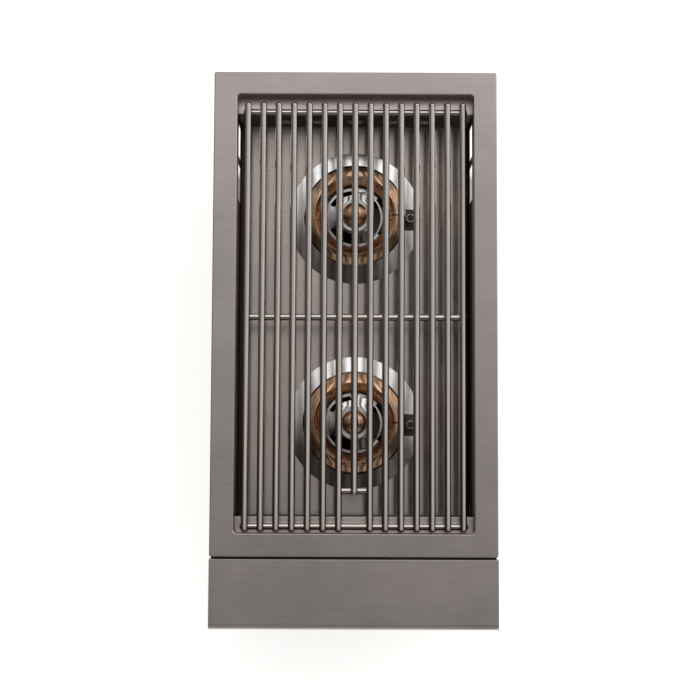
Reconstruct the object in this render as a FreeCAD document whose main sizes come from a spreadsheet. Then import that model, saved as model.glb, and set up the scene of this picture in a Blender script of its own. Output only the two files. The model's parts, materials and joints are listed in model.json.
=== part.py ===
"""Built in side burner: a drop-in stainless rim and liner, a rod grate over two brass ring burners
set front to back, and a control panel in front with two knobs and an igniter button.

The part stands on its flat bottom: X runs across, Y to the rear and Z up, with the origin at the
middle of the footprint. Sizes are in millimetres and degrees.
"""
import FreeCAD
import Part
import math
import os
import re
import Sketcher

FULL_TURN = 360.0
HALF_TURN = 180.0
QUARTER_TURN = 90.0
ROD_COUNT = 15
SHORT_ROD = 7
ARM_COUNT = 3

# Driving sizes: name, value, what it is
SIZES = [
    # Rim frame
    ("rim_width", 330.0, "rim across"),
    ("rim_length", 562.5, "rim front to rear"),
    ("rim_sheet", 1.5, "rim sheet thickness"),
    ("rail_side", 27.5, "visible width of a side rail"),
    ("rail_end", 26.8, "visible width of the front and rear rails"),
    ("rim_corner", 2.0, "outer corner radius of the rim"),
    ("opening_corner", 4.0, "inner corner radius of the opening"),
    ("skirt_depth", 16.0, "turned-down edge below the top sheet"),
    ("hem_width", 12.0, "flat hem that rests on the counter"),
    ("counter_room", 24.0, "room for the counter's edge under the front hem"),
    # Liner
    ("body_height", 216.0, "rim top above the bottom"),
    ("liner_sheet", 1.2, "liner sheet thickness"),
    ("ledge_drop", 21.0, "ledges below the rim top"),
    ("ledge_width", 18.6, "ledge front to rear"),
    ("ledge_lip", 12.0, "lip that carries the deck"),
    ("deck_drop", 83.0, "deck below the rim top"),
    ("deck_side_gap", 0.5, "gap between the deck and the side panels"),
    ("deck_flange", 12.0, "turned-down deck edge"),
    ("slot_pitch", 42.0, "pitch of the slots in the rear ledge"),
    ("slot_length", 19.5, "length of such a slot"),
    ("slot_height", 5.0, "height of such a slot"),
    ("slot_drop", 54.5, "middle of those slots below the rim top"),
    ("window_top", 38.0, "side windows' top edge below the rim top"),
    ("window_height", 42.0, "height of the side windows"),
    ("window_rear_gap", 23.7, "rear window's rear edge before the opening's"),
    ("window_rear_length", 40.0, "rear window along Y"),
    ("window_rib", 8.0, "rib between the two windows"),
    ("window_front_length", 44.0, "front window along Y"),
    ("vent_length", 46.0, "length of a bottom or rear vent slot"),
    ("vent_width", 6.0, "width of a vent slot"),
    ("vent_pitch", 18.0, "pitch of the vent slots"),
    # Control panel
    ("panel_seam", 2.4, "seam between the rim and the panel"),
    ("panel_depth", 79.6, "panel top front to rear"),
    ("panel_sheet", 1.2, "panel sheet thickness"),
    ("nose_radius", 6.5, "rounded front edge"),
    ("nose_height", 32.0, "height of the nose"),
    ("fascia_setback", 32.0, "fascia behind the nose"),
    ("fascia_drop", 176.0, "fascia bottom below the rim top"),
    ("end_flange", 37.0, "inward flange of an end cap"),
    ("knob_pitch", 94.0, "between the two knobs"),
    # Grate
    ("grate_rod", 8.0, "diameter of every grate rod"),
    ("rod_side_gap", 11.85, "outer rod axes from the sides of the opening"),
    ("grate_length", 500.0, "length of a long rod"),
    ("grate_front_gap", 1.3, "long rods behind the front of the opening"),
    ("grate_rod_end", 3.0, "end rounding of a long rod"),
    ("cross_gap", 6.0, "cross rods' ends from the sides of the opening"),
    ("cross_inset", 8.0, "cross rod axis from the long rods' ends"),
    ("weld_sink", 0.4, "how far a weld pulls one rod into the other"),
    ("notch_length", 43.0, "finger notch, from the long rods' front ends"),
    ("lift_bar_setback", 4.0, "lifting bar axis behind the short rod's end"),
    ("lift_bar_length", 44.0, "length of the lifting bar"),
    # Burners
    ("burner_pitch", 249.0, "between the two burners"),
    ("burner_shift", -2.0, "burner pair from the middle of the opening"),
    ("drip_radius", 80.0, "drip ring outside"),
    ("drip_lip", 2.4, "width of the drip ring's flat lip"),
    ("drip_bore", 57.0, "drip ring inside"),
    ("drip_rise", 3.6, "rise of the drip ring's cone towards its bore"),
    ("drip_sheet", 0.8, "drip ring sheet"),
    ("deck_hole", 77.8, "radius of the burner hole in the deck"),
    ("trough_outer", 56.0, "burner body outside radius"),
    ("trough_inner", 38.0, "burner body inner bore radius"),
    ("trough_wall", 3.0, "burner body wall"),
    ("trough_top", 12.0, "burner body top above the deck"),
    ("trough_drop", 12.0, "burner body bottom below the deck"),
    ("post_radius", 9.0, "centre post radius"),
    ("arm_width", 9.0, "width of the three arms under the bowl"),
    ("arm_height", 5.0, "height of the three arms"),
    ("tube_radius", 12.0, "mixing tube outside radius"),
    ("tube_bore", 10.2, "mixing tube inside radius"),
    ("riser_bore", 5.2, "gas way up into the trough, radius"),
    ("tube_reach", 22.0, "mixing tube in front of the front wall"),
    ("tube_gap", 3.0, "mixing tubes below the hangers"),
    ("tube_clearance", 0.3, "mixing tube in the front wall's hole"),
    ("ring_radius", 61.2, "brass ring outside radius"),
    ("ring_crest", 46.5, "brass ring crest radius"),
    ("ring_bore", 38.2, "brass ring bore radius"),
    ("ring_wall", 3.0, "brass ring wall"),
    ("ring_rise", 15.0, "brass ring crest above its seat"),
    ("ring_edge_rise", 7.0, "brass ring outer edge above its seat"),
    ("ring_round", 17.0, "radius of the brass ring's outer face"),
    ("ring_spigot", 4.0, "depth of the spigot inside the burner body"),
    ("ring_clearance", 0.5, "spigot clearance"),
    ("inner_ports", 24, "ports inside the crest"),
    ("inner_port_width", 1.8, "diameter of such a port"),
    ("outer_ports", 40, "slots under the outer edge"),
    ("outer_port_width", 2.2, "width of such a slot"),
    ("outer_port_height", 2.6, "height of such a slot"),
    ("light_slot", 1.6, "width of the lighting groove"),
    ("bowl_radius", 36.9, "flame bowl rim radius"),
    ("bowl_base", 10.7, "flame bowl's underside at the hub above the deck"),
    ("bowl_fall", 4.0, "fall of the flame bowl from the hub to its rim"),
    ("bowl_lip", 1.8, "height of the flame bowl's upright rim"),
    ("bowl_sheet", 0.8, "flame bowl sheet"),
    ("bowl_hole", 5.0, "hole in the bowl's base"),
    ("window_inner", 20.6, "bowl windows' inner radius"),
    ("window_outer", 33.0, "outer radius of the narrow windows"),
    ("window_short", 31.3, "outer radius of the right window"),
    ("gap_inner", 33.6, "inner radius of the gap in the rim"),
    ("wide_window", 76.0, "right bowl window's angle, and the gap's in the rim"),
    ("wide_window_middle", 2.0, "middle of that window"),
    ("narrow_window", 56.0, "angle of each other bowl window"),
    ("narrow_window_middle", 125.5, "middle of those windows, to each side"),
    ("hub_radius", 19.8, "hub radius"),
    ("hub_rise", 22.0, "hub top above the deck"),
    ("hub_bore", 10.0, "hub bore radius"),
    ("hub_floor", 2.0, "hub floor thickness"),
    ("cap_radius", 14.9, "centre cap radius"),
    ("cap_neck", 12.0, "centre cap neck radius"),
    ("cap_neck_height", 4.0, "height of the neck"),
    ("cap_rise", 9.0, "dome height above the neck"),
    ("cap_stem", 8.0, "depth of the stem in the hub"),
    ("cap_clearance", 0.1, "stem clearance"),
    ("electrode_out", 67.0, "electrode from the burner axis, across"),
    ("electrode_back", -2.0, "electrode from the burner axis, along Y"),
    ("sleeve_radius", 5.0, "electrode sleeve radius"),
    ("sleeve_wall", 1.2, "electrode sleeve wall"),
    ("sleeve_rise", 17.0, "electrode sleeve top above the deck"),
    ("electrode_tail", 12.0, "electrode below the deck"),
    ("electrode_tip", 1.25, "electrode tip radius"),
    ("bracket_length", 24.0, "electrode bracket along Y"),
    ("bracket_width", 14.0, "electrode bracket across"),
    ("bracket_sheet", 2.0, "electrode bracket thickness"),
    ("bracket_rise", 0.5, "electrode bracket's underside above the deck"),
    ("bracket_gap", 1.0, "drip ring notch round the bracket"),
    ("hanger_width", 30.0, "burner hanger along Y"),
    ("hanger_sheet", 2.0, "burner hanger thickness"),
    ("hanger_half", 84.0, "burner hanger's legs from the burner axis"),
    ("hanger_foot", 12.0, "burner hanger's flange"),
    # Gas train
    ("valve_width", 22.0, "valve body across"),
    ("valve_height", 24.0, "valve body height"),
    ("valve_length", 28.0, "valve body along Y"),
    ("valve_gap", 7.0, "valve body behind the fascia"),
    ("valve_cover", 2.0, "valve cover thickness"),
    ("plug_front", 7.5, "plug radius at its front"),
    ("plug_rear", 6.0, "plug radius at its rear"),
    ("plug_length", 19.0, "plug length"),
    ("plug_clearance", 0.05, "plug running clearance"),
    ("plug_hole", 5.0, "gas hole through the plug"),
    ("spring_length", 5.0, "valve spring length"),
    ("spring_wall", 1.2, "valve spring wire"),
    ("stem_radius", 3.0, "knob stem radius"),
    ("stem_clearance", 0.05, "stem running clearance in the plug"),
    ("stem_gap", 0.4, "gap round the stem in the cover and the spring"),
    ("stem_reach", 12.0, "stem inside the plug"),
    ("plug_socket", 16.0, "depth of the stem's socket in the plug"),
    ("spud_radius", 5.0, "orifice spud radius"),
    ("spud_nut", 8.0, "orifice spud's nut radius"),
    ("spud_nut_length", 6.0, "length of that nut"),
    ("spud_bore", 1.2, "orifice bore"),
    ("spud_insertion", 4.0, "spud tip inside the mixing tube"),
    ("shutter_length", 14.0, "air shutter length"),
    ("shutter_wall", 1.2, "air shutter wall"),
    ("shutter_clearance", 0.1, "air shutter running clearance"),
    ("shutter_setback", 3.0, "air shutter behind the tube's mouth"),
    ("air_window", 9.0, "air window, each way"),
    ("manifold_side", 18.0, "square manifold side"),
    ("manifold_wall", 2.0, "manifold wall"),
    ("manifold_length", 144.0, "manifold across"),
    ("manifold_bracket", 16.0, "manifold bracket, each way"),
    ("manifold_bracket_side", 18.0, "manifold bracket from the middle"),
    ("pipe_radius", 6.35, "inlet pipe radius"),
    ("pipe_inset", 21.0, "inlet pipe axis inside the side panel"),
    ("pipe_bend", 20.0, "inlet pipe bend radius"),
    ("inlet_rear_gap", 2.2, "inlet fitting's end before the rim's rear edge"),
    ("inlet_radius", 7.9, "threaded end's radius"),
    ("inlet_socket", 8.0, "inlet pipe inside its fitting"),
    ("pipe_bore", 4.5, "inlet bore radius"),
    ("pipe_bore_depth", 30.0, "depth of the inlet bore"),
    ("pipe_hole_gap", 0.4, "clearance round the pipe in a wall"),
    ("fitting_width", 22.0, "inlet fitting across its flats"),
    ("fitting_length", 6.0, "length of those flats"),
    # Controls
    ("bezel_radius", 28.0, "knob bezel radius"),
    ("bezel_depth", 4.0, "knob bezel depth"),
    ("bezel_bore", 8.0, "knob bezel bore radius"),
    ("knob_radius", 22.0, "knob radius at its skirt"),
    ("knob_face", 19.0, "knob radius at its face"),
    ("knob_depth", 21.0, "knob depth"),
    ("knob_gap", 4.3, "knob in front of its bezel"),
    ("knob_flutes", 12, "grip flutes round a knob"),
    ("knob_flute", 3.0, "radius of a grip flute"),
    ("fascia_hole", 6.0, "stem hole in the fascia"),
    ("button_radius", 8.8, "igniter button radius"),
    ("button_clearance", 0.08, "igniter button running clearance"),
    ("button_proud", 3.4, "igniter button in front of its bezel"),
    ("button_length", 13.0, "igniter button length"),
    ("button_bezel", 12.5, "igniter bezel radius"),
    ("button_bezel_depth", 3.0, "igniter bezel depth"),
    ("module_width", 34.0, "ignition module across"),
    ("module_height", 44.0, "ignition module height"),
    ("module_lift", 1.0, "ignition module above the manifold"),
    ("module_depth", 34.0, "ignition module along Y"),
    ("module_recess", 10.5, "recess for the button in the module"),
    ("screw_radius", 2.0, "screw shank radius"),
    ("screw_head", 4.0, "screw head radius"),
    ("screw_head_height", 2.0, "screw head height"),
    ("screw_length", 5.0, "screw shank length"),
    ("screw_inset", 12.0, "fascia screw from the fascia's edges"),
]

# Places worked out from the sizes: name, formula
PLACES = [
    ("nose_front", "-(panel_depth + panel_seam + rim_length) / 2"),
    ("panel_rear", "nose_front + panel_depth"),
    ("rim_front", "panel_rear + panel_seam"),
    ("rim_rear", "rim_front + rim_length"),
    ("rim_side", "rim_width / 2"),
    ("skirt_foot", "body_height - rim_sheet - skirt_depth"),
    ("opening_side", "rim_side - rail_side"),
    ("opening_front", "rim_front + rail_end"),
    ("opening_rear", "rim_rear - rail_end"),
    ("opening_middle", "(opening_front + opening_rear) / 2"),
    ("wall_side_in", "opening_side + rim_sheet"),
    ("wall_side_out", "wall_side_in + liner_sheet"),
    ("wall_rear_in", "opening_rear + rim_sheet"),
    ("wall_rear_out", "wall_rear_in + liner_sheet"),
    ("wall_front_in", "opening_front - rim_sheet"),
    ("wall_front_out", "wall_front_in - liner_sheet"),
    ("rim_under", "body_height - rim_sheet"),
    ("ledge_top", "body_height - ledge_drop"),
    ("ledge_under", "ledge_top - liner_sheet"),
    ("deck_top", "body_height - deck_drop"),
    ("deck_under", "deck_top - liner_sheet"),
    ("lip_under", "deck_under - liner_sheet"),
    ("deck_rear", "opening_rear - ledge_width"),
    ("deck_front", "opening_front + ledge_width"),
    ("deck_side", "wall_side_in - deck_side_gap"),
    ("front_burner", "opening_middle + burner_shift - burner_pitch / 2"),
    ("rear_burner", "opening_middle + burner_shift + burner_pitch / 2"),
    ("fascia_front", "nose_front + fascia_setback"),
    ("fascia_back", "fascia_front + panel_sheet"),
    ("fascia_foot", "body_height - fascia_drop"),
    ("control_floor", "fascia_foot + panel_sheet"),
    ("nose_under", "body_height - nose_height"),
    ("end_in", "rim_side - panel_sheet"),
    ("knob_side", "knob_pitch / 2"),
    ("hanger_top", "deck_top - trough_drop"),
    ("hanger_under", "hanger_top - hanger_sheet"),
    ("control_level", "hanger_under - tube_gap - tube_radius"),
    ("tube_mouth", "wall_front_out - tube_reach"),
    ("valve_front", "fascia_back + valve_gap"),
    ("valve_rear", "valve_front + valve_length"),
    ("plug_start", "valve_front + spring_length + plug_clearance"),
    ("manifold_top", "control_level - valve_height / 2"),
    ("manifold_middle", "manifold_top - manifold_side / 2"),
    ("manifold_y", "(valve_front + valve_rear) / 2"),
    ("pipe_side", "wall_side_in - pipe_inset"),
    ("pipe_end", "wall_rear_out + inlet_socket"),
    ("inlet_end", "rim_rear - inlet_rear_gap"),
    ("bezel_front", "fascia_front - bezel_depth"),
    ("knob_back", "bezel_front - knob_gap"),
    ("cap_round", "(cap_radius ^ 2 + (cap_rise - 1) ^ 2) / 2 / (cap_rise - 1)"),
    ("grate_pitch", f"(opening_side - rod_side_gap) / {(ROD_COUNT - 1) / 2}"),
    ("cross_length", "2 * (opening_side - cross_gap)"),
    ("grate_front", "opening_front + grate_front_gap"),
    ("grate_rear", "grate_front + grate_length"),
    ("cross_level", "ledge_top + grate_rod / 2"),
    ("rod_level", "cross_level + grate_rod - weld_sink"),
    ("notch_end", "grate_front + notch_length"),
]

SIZE_NAMES = [name for name, _, _ in SIZES]
PLACE_NAMES = [name for name, _ in PLACES]
doc = FreeCAD.newDocument("side_burner")
sizes = doc.addObject("Spreadsheet::Sheet", "sizes")
places = doc.addObject("Spreadsheet::Sheet", "places")


def formula(text):
    """Point each size and place that text names at its own cell."""

    def cell(match):
        name = match.group(0)
        if name in SIZE_NAMES:
            return "sizes." + name
        if name in PLACE_NAMES:
            return "places." + name
        return name

    return re.sub(r"[a-z][a-z0-9_]*", cell, str(text))


def local(text):
    """The same for a cell of the places sheet, whose own names need no sheet."""
    return formula(text).replace("places.", "")


for row, (name, number, note) in enumerate(SIZES, start=1):
    sizes.set(f"A{row}", note)
    sizes.set(f"B{row}", str(number))
    sizes.setAlias(f"B{row}", name)
doc.recompute()
for row, (name, text) in enumerate(PLACES, start=1):
    places.set(f"A{row}", name.replace("_", " "))
    places.set(f"B{row}", "=" + local(text))
    places.setAlias(f"B{row}", name)
    doc.recompute()

probe = doc.addObject("App::FeaturePython", "probe")
probe.addProperty("App::PropertyFloat", "number")


def worked_out(text):
    """The present number of a formula."""
    probe.setExpression("number", formula(text))
    probe.recompute()
    return float(probe.number)


def settle(item, at=("0", "0", "0"), turn=None):
    """Give an object its turn, and bind its place to formulas."""
    if turn is not None:
        item.Placement = FreeCAD.Placement(FreeCAD.Vector(), turn)
    for letter, text in zip("xyz", at):
        item.setExpression("Placement.Base." + letter, formula(text))
    return item


ABOUT_X = FreeCAD.Vector(1, 0, 0)
ABOUT_Y = FreeCAD.Vector(0, 1, 0)
ABOUT_Z = FreeCAD.Vector(0, 0, 1)
TO_REAR = FreeCAD.Rotation(ABOUT_X, -QUARTER_TURN)
TO_FRONT = FreeCAD.Rotation(ABOUT_X, QUARTER_TURN)
TO_RIGHT = FreeCAD.Rotation(ABOUT_Y, QUARTER_TURN)


def block(name, x, y, z):
    """A box between two x, two y and two z formulas."""
    box = doc.addObject("Part::Box", name)
    for side, (low, high) in zip(("Length", "Width", "Height"), (x, y, z)):
        box.setExpression(side, formula(f"({high}) - ({low})"))
    return settle(box, (x[0], y[0], z[0]))


def round_bar(name, radius, along, span, at):
    """A cylinder along X, Y or Z over a span; at gives its other two coordinates in order."""
    bar = doc.addObject("Part::Cylinder", name)
    bar.setExpression("Radius", formula(radius))
    bar.setExpression("Height", formula(f"({span[1]}) - ({span[0]})"))
    first, second = at
    if along == "X":
        return settle(bar, (span[0], first, second), TO_RIGHT)
    if along == "Y":
        return settle(bar, (first, span[0], second), TO_REAR)
    return settle(bar, (first, second, span[0]))


def fuse(name, *members):
    """Several objects made one."""
    joined = doc.addObject("Part::MultiFuse", name)
    joined.Shapes = list(members)
    joined.Refine = True
    return joined


def cut(name, base, *tools):
    """An object less one or more others."""
    result = doc.addObject("Part::Cut", name)
    result.Base = base
    result.Tool = tools[0] if len(tools) == 1 else fuse(name + "_tools", *tools)
    result.Refine = True
    return result


def group(name, *members):
    """Separate solids kept under one name."""
    compound = doc.addObject("Part::Compound", name)
    compound.Links = list(members)
    return compound


def mirrored(name, source):
    """The same object on the other side of the middle plane."""
    image = doc.addObject("Part::Mirroring", name)
    image.Source = source
    image.Normal = ABOUT_X
    return image


def origin_feature(body, role):
    """One of a body's own origin planes or axes."""
    return next(item for item in body.Origin.OriginFeatures if item.Role == role)


def hold(sketch, constraint, text):
    """Add a dimension and bind it to a formula."""
    index = sketch.addConstraint(constraint)
    sketch.setExpression(f"Constraints[{index}]", formula(text))


def outline(body, plane, corners):
    """A closed outline through corners (u, v) or (u, v, radius, side) on one of a body's planes.

    With a radius, the edge that arrives at that corner is an arc, its centre on the "left" or on
    the "right" of the way from the corner before.
    """
    sketch = body.newObject("Sketcher::SketchObject", body.Name + "_outline")
    sketch.AttachmentSupport = (origin_feature(body, plane), [""])
    sketch.MapMode = "FlatFace"
    spots = [FreeCAD.Vector(worked_out(c[0]), worked_out(c[1]), 0) for c in corners]
    ends = []
    for index, corner in enumerate(corners):
        start, end = spots[index - 1], spots[index]
        if len(corner) == 2:
            edge = sketch.addGeometry(Part.LineSegment(start, end))
            ends.append((edge, 1, 2))
            continue
        radius = worked_out(corner[2])
        left = corner[3] == "left"
        chord = end - start
        rise = math.sqrt(radius**2 - (chord.Length / 2) ** 2) * (1 if left else -1)
        normal = FreeCAD.Vector(-chord.y, chord.x, 0).normalize()
        centre = (start + end) / 2 + normal * rise
        first, last = (start, end) if left else (end, start)
        circle = Part.Circle(centre, FreeCAD.Vector(0, 0, 1), radius)
        angles = [math.atan2(p.y - centre.y, p.x - centre.x) for p in (first, last)]
        edge = sketch.addGeometry(Part.ArcOfCircle(circle, angles[0], angles[1]))
        ends.append((edge, 1, 2) if left else (edge, 2, 1))
        hold(sketch, Sketcher.Constraint("Radius", edge, radius), corner[2])
    for index, corner in enumerate(corners):
        edge, _, tail = ends[index]
        following, head, _ = ends[(index + 1) % len(ends)]
        sketch.addConstraint(Sketcher.Constraint("Coincident", edge, tail, following, head))
        for letter, text, spot, axis in (
            ("X", corner[0], spots[index].x, -2),
            ("Y", corner[1], spots[index].y, -1),
        ):
            if str(text) == "0":
                sketch.addConstraint(Sketcher.Constraint("PointOnObject", edge, tail, axis))
                continue
            distance = Sketcher.Constraint("Distance" + letter, -1, 1, edge, tail, spot)
            hold(sketch, distance, text)
    return sketch


def turned(name, corners, at=("0", "0", "0"), turn=None):
    """A body turned about its own Z axis from an outline of (radius, height) corners."""
    body = doc.addObject("PartDesign::Body", name)
    sketch = outline(body, "XZ_Plane", corners)
    spin = body.newObject("PartDesign::Revolution", name + "_turn")
    spin.Profile = sketch
    spin.ReferenceAxis = (sketch, ["V_Axis"])
    spin.Angle = FULL_TURN
    return settle(body, at, turn)


def padded(name, plane, corners, length, at=("0", "0", "0"), turn=None):
    """A body padded from an outline, half its length to each side of the plane."""
    body = doc.addObject("PartDesign::Body", name)
    pad = body.newObject("PartDesign::Pad", name + "_pad")
    pad.Profile = outline(body, plane, corners)
    pad.setExpression("Length", formula(length))
    pad.Midplane = True
    return settle(body, at, turn)


def patterned(name, tool, count, centre, start=0.0, join=group):
    """Copies of an object all round a vertical axis from a start angle, grouped or fused."""
    copies = []
    for index in range(count):
        copy = doc.addObject("Part::Compound", f"{name}_{index}")
        copy.Links = [tool]
        copy.Placement = FreeCAD.Placement(
            FreeCAD.Vector(), FreeCAD.Rotation(ABOUT_Z, start + FULL_TURN / count * index)
        )
        copies.append(copy)
    return settle(join(name, *copies), centre)


pieces = []


def piece(name, item):
    """Name an object as one of the finished sub-parts."""
    item.Label = name
    pieces.append(item)
    return item


def rim_frame():
    """Flat rails round the opening, with a turned-down edge, a hem and an inner return."""
    across = ("-rim_side", "rim_side")
    along = ("rim_front", "rim_rear")
    shell = padded(
        "rim_shell",
        "XY_Plane",
        rounded_rectangle(across, along, "rim_corner"),
        "rim_sheet + skirt_depth",
        ("0", "0", "(body_height + skirt_foot) / 2"),
    )
    hollow = block(
        "rim_hollow",
        ("-rim_side + rim_sheet", "rim_side - rim_sheet"),
        ("rim_front + rim_sheet", "rim_rear - rim_sheet"),
        ("skirt_foot + rim_sheet", "rim_under"),
    )
    mouth = block(
        "rim_mouth",
        ("-rim_side + hem_width", "rim_side - hem_width"),
        ("rim_front + hem_width", "rim_rear - hem_width"),
        ("skirt_foot", "skirt_foot + rim_sheet"),
    )
    inner_return = block(
        "rim_return",
        ("-wall_side_in", "wall_side_in"),
        ("wall_front_in", "wall_rear_in"),
        ("ledge_top", "rim_under"),
    )
    opening = padded(
        "rim_opening",
        "XY_Plane",
        rounded_rectangle(
            ("-opening_side", "opening_side"), ("opening_front", "opening_rear"), "opening_corner"
        ),
        "2 * ledge_drop",
        ("0", "0", "body_height"),
    )
    edge = cut("rim_edge", shell, hollow, mouth)
    piece("rim_frame", cut("rim_cut", fuse("rim_fused", edge, inner_return), opening))


def rounded_rectangle(across, along, radius):
    """Corners of a rectangle whose four corners are rounded, counter-clockwise."""
    (left, right), (front, rear) = across, along
    return [
        (f"{right} - {radius}", front),
        (right, f"{front} + {radius}", radius, "left"),
        (right, f"{rear} - {radius}"),
        (f"{right} - {radius}", rear, radius, "left"),
        (f"{left} + {radius}", rear),
        (left, f"{rear} - {radius}", radius, "left"),
        (left, f"{front} + {radius}"),
        (f"{left} + {radius}", front, radius, "left"),
    ]


def side_panels():
    """Liner sides, cut back under the front rail and over the control floor, with windows."""
    side = padded(
        "side_sheet",
        "YZ_Plane",
        [
            ("panel_rear", "fascia_foot"),
            ("wall_front_out", "fascia_foot"),
            ("wall_front_out", "0"),
            ("wall_rear_out", "0"),
            ("wall_rear_out", "rim_under"),
            ("rim_front + hem_width + rim_sheet", "rim_under"),
            ("rim_front + hem_width + rim_sheet", "skirt_foot - counter_room"),
            ("panel_rear", "skirt_foot - counter_room"),
        ],
        "liner_sheet",
        ("wall_side_in + liner_sheet / 2", "0", "0"),
    )
    through = ("wall_side_in - liner_sheet", "wall_side_out + liner_sheet")
    height = ("body_height - window_top - window_height", "body_height - window_top")
    rear_end = "opening_rear - window_rear_gap"
    rear_start = f"{rear_end} - window_rear_length"
    front_end = f"{rear_start} - window_rib"
    front_start = f"{front_end} - window_front_length"
    openings = [
        block("side_window_rear", through, (rear_start, rear_end), height),
        block("side_window_front", through, (front_start, front_end), height),
    ]
    for index in range(8):
        middle = f"opening_middle + vent_pitch * {index - 3.5}"
        openings.append(
            block(
                f"side_vent_{index}",
                through,
                (f"{middle} - vent_width / 2", f"{middle} + vent_width / 2"),
                ("vent_width * 3", "vent_width * 3 + vent_length"),
            )
        )
    right = piece("right_side_panel", cut("side_cut", side, *openings))
    piece("left_side_panel", mirrored("side_mirror", right))


def rear_panel():
    """Liner rear wall with a row of upright vents and the gas inlet's hole."""
    sheet = block(
        "rear_sheet",
        ("-wall_side_in", "wall_side_in"),
        ("wall_rear_in", "wall_rear_out"),
        ("0", "rim_under"),
    )
    through = ("wall_rear_in - liner_sheet", "wall_rear_out + liner_sheet")
    openings = []
    for index in range(8):
        middle = f"vent_pitch * {index - 4.5}"
        openings.append(
            block(
                f"rear_vent_{index}",
                (f"{middle} - vent_width / 2", f"{middle} + vent_width / 2"),
                through,
                ("vent_width * 3", "vent_width * 3 + vent_length"),
            )
        )
    openings.append(
        round_bar(
            "rear_pipe_hole",
            "pipe_radius + pipe_hole_gap",
            "Y",
            through,
            ("pipe_side", "manifold_middle"),
        )
    )
    piece("rear_panel", cut("rear_cut", sheet, *openings))


def front_wall():
    """Liner front wall with holes for the two mixing tubes and the inlet pipe."""
    sheet = block(
        "front_sheet",
        ("-wall_side_in", "wall_side_in"),
        ("wall_front_out", "wall_front_in"),
        ("0", "rim_under"),
    )
    through = ("wall_front_out - liner_sheet", "wall_front_in + liner_sheet")
    holes = [
        round_bar(
            f"front_tube_hole_{side}",
            "tube_radius + tube_clearance",
            "Y",
            through,
            (f"{sign}knob_side", "control_level"),
        )
        for side, sign in (("left", "-"), ("right", ""))
    ]
    holes.append(
        round_bar(
            "front_pipe_hole",
            "pipe_radius + pipe_hole_gap",
            "Y",
            through,
            ("pipe_side", "manifold_middle"),
        )
    )
    piece("front_wall", cut("front_cut", sheet, *holes))


def bottom_panel():
    """Liner floor with two rows of air slots."""
    sheet = block(
        "bottom_sheet",
        ("-wall_side_in", "wall_side_in"),
        ("wall_front_in", "wall_rear_in"),
        ("0", "liner_sheet"),
    )
    slots = []
    for row in (-1, 1):
        for index in range(6):
            middle = f"opening_middle + vent_pitch * {index - 2.5} * 2"
            centre = f"vent_length * {row}"
            slots.append(
                block(
                    f"bottom_slot_{row + 1}_{index}",
                    (f"{centre} - vent_length / 2", f"{centre} + vent_length / 2"),
                    (f"{middle} - vent_width / 2", f"{middle} + vent_width / 2"),
                    ("-liner_sheet", "2 * liner_sheet"),
                )
            )
    piece("bottom_panel", cut("bottom_cut", sheet, *slots))


def ledges():
    """Sheet ledges that carry the grate, each with a drop and a lip under the deck."""
    across = ("-wall_side_in", "wall_side_in")
    parts = {}
    for name, wall, edge, sign in (
        ("rear", "wall_rear_in", "deck_rear", 1),
        ("front", "wall_front_in", "deck_front", -1),
    ):
        inner = f"{edge} + liner_sheet * {sign}"
        lip = f"{edge} - ledge_lip * {sign}"
        shelf = sorted_span(edge, wall, sign)
        drop = sorted_span(edge, inner, sign)
        tray = sorted_span(lip, inner, sign)
        parts[name] = fuse(
            f"{name}_ledge_sheet",
            block(f"{name}_shelf", across, shelf, ("ledge_under", "ledge_top")),
            block(f"{name}_drop", across, drop, ("lip_under", "ledge_top")),
            block(f"{name}_lip", across, tray, ("lip_under", "deck_under")),
        )
    slots = []
    for index in range(5):
        middle = f"slot_pitch * {index - 2}"
        level = "body_height - slot_drop"
        slots.append(
            block(
                f"ledge_slot_{index}",
                (f"{middle} - slot_length / 2", f"{middle} + slot_length / 2"),
                ("deck_rear - liner_sheet", "deck_rear + 2 * liner_sheet"),
                (f"{level} - slot_height / 2", f"{level} + slot_height / 2"),
            )
        )
    piece("rear_ledge", cut("rear_ledge_cut", parts["rear"], *slots))
    piece("front_ledge", parts["front"])


def sorted_span(near, far, sign):
    """A span written from its lower to its higher end."""
    return (near, far) if sign > 0 else (far, near)


def burner_deck():
    """Deck sheet with turned-down sides and a hole for each burner."""
    sheet = block(
        "deck_sheet",
        ("-deck_side", "deck_side"),
        ("deck_front", "deck_rear"),
        ("deck_under", "deck_top"),
    )
    flanges = [
        block(
            f"deck_flange_{name}",
            across,
            ("deck_front + ledge_lip + liner_sheet", "deck_rear - ledge_lip - liner_sheet"),
            ("deck_top - deck_flange", "deck_under"),
        )
        for name, across in (
            ("left", ("-deck_side", "-deck_side + liner_sheet")),
            ("right", ("deck_side - liner_sheet", "deck_side")),
        )
    ]
    holes = [
        round_bar(
            f"deck_hole_{name}",
            "deck_hole",
            "Z",
            ("deck_under - liner_sheet", "deck_top + liner_sheet"),
            ("0", f"{name}_burner"),
        )
        for name in ("front", "rear")
    ]
    piece("burner_deck", cut("deck_cut", fuse("deck_fused", sheet, *flanges), *holes))


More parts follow.
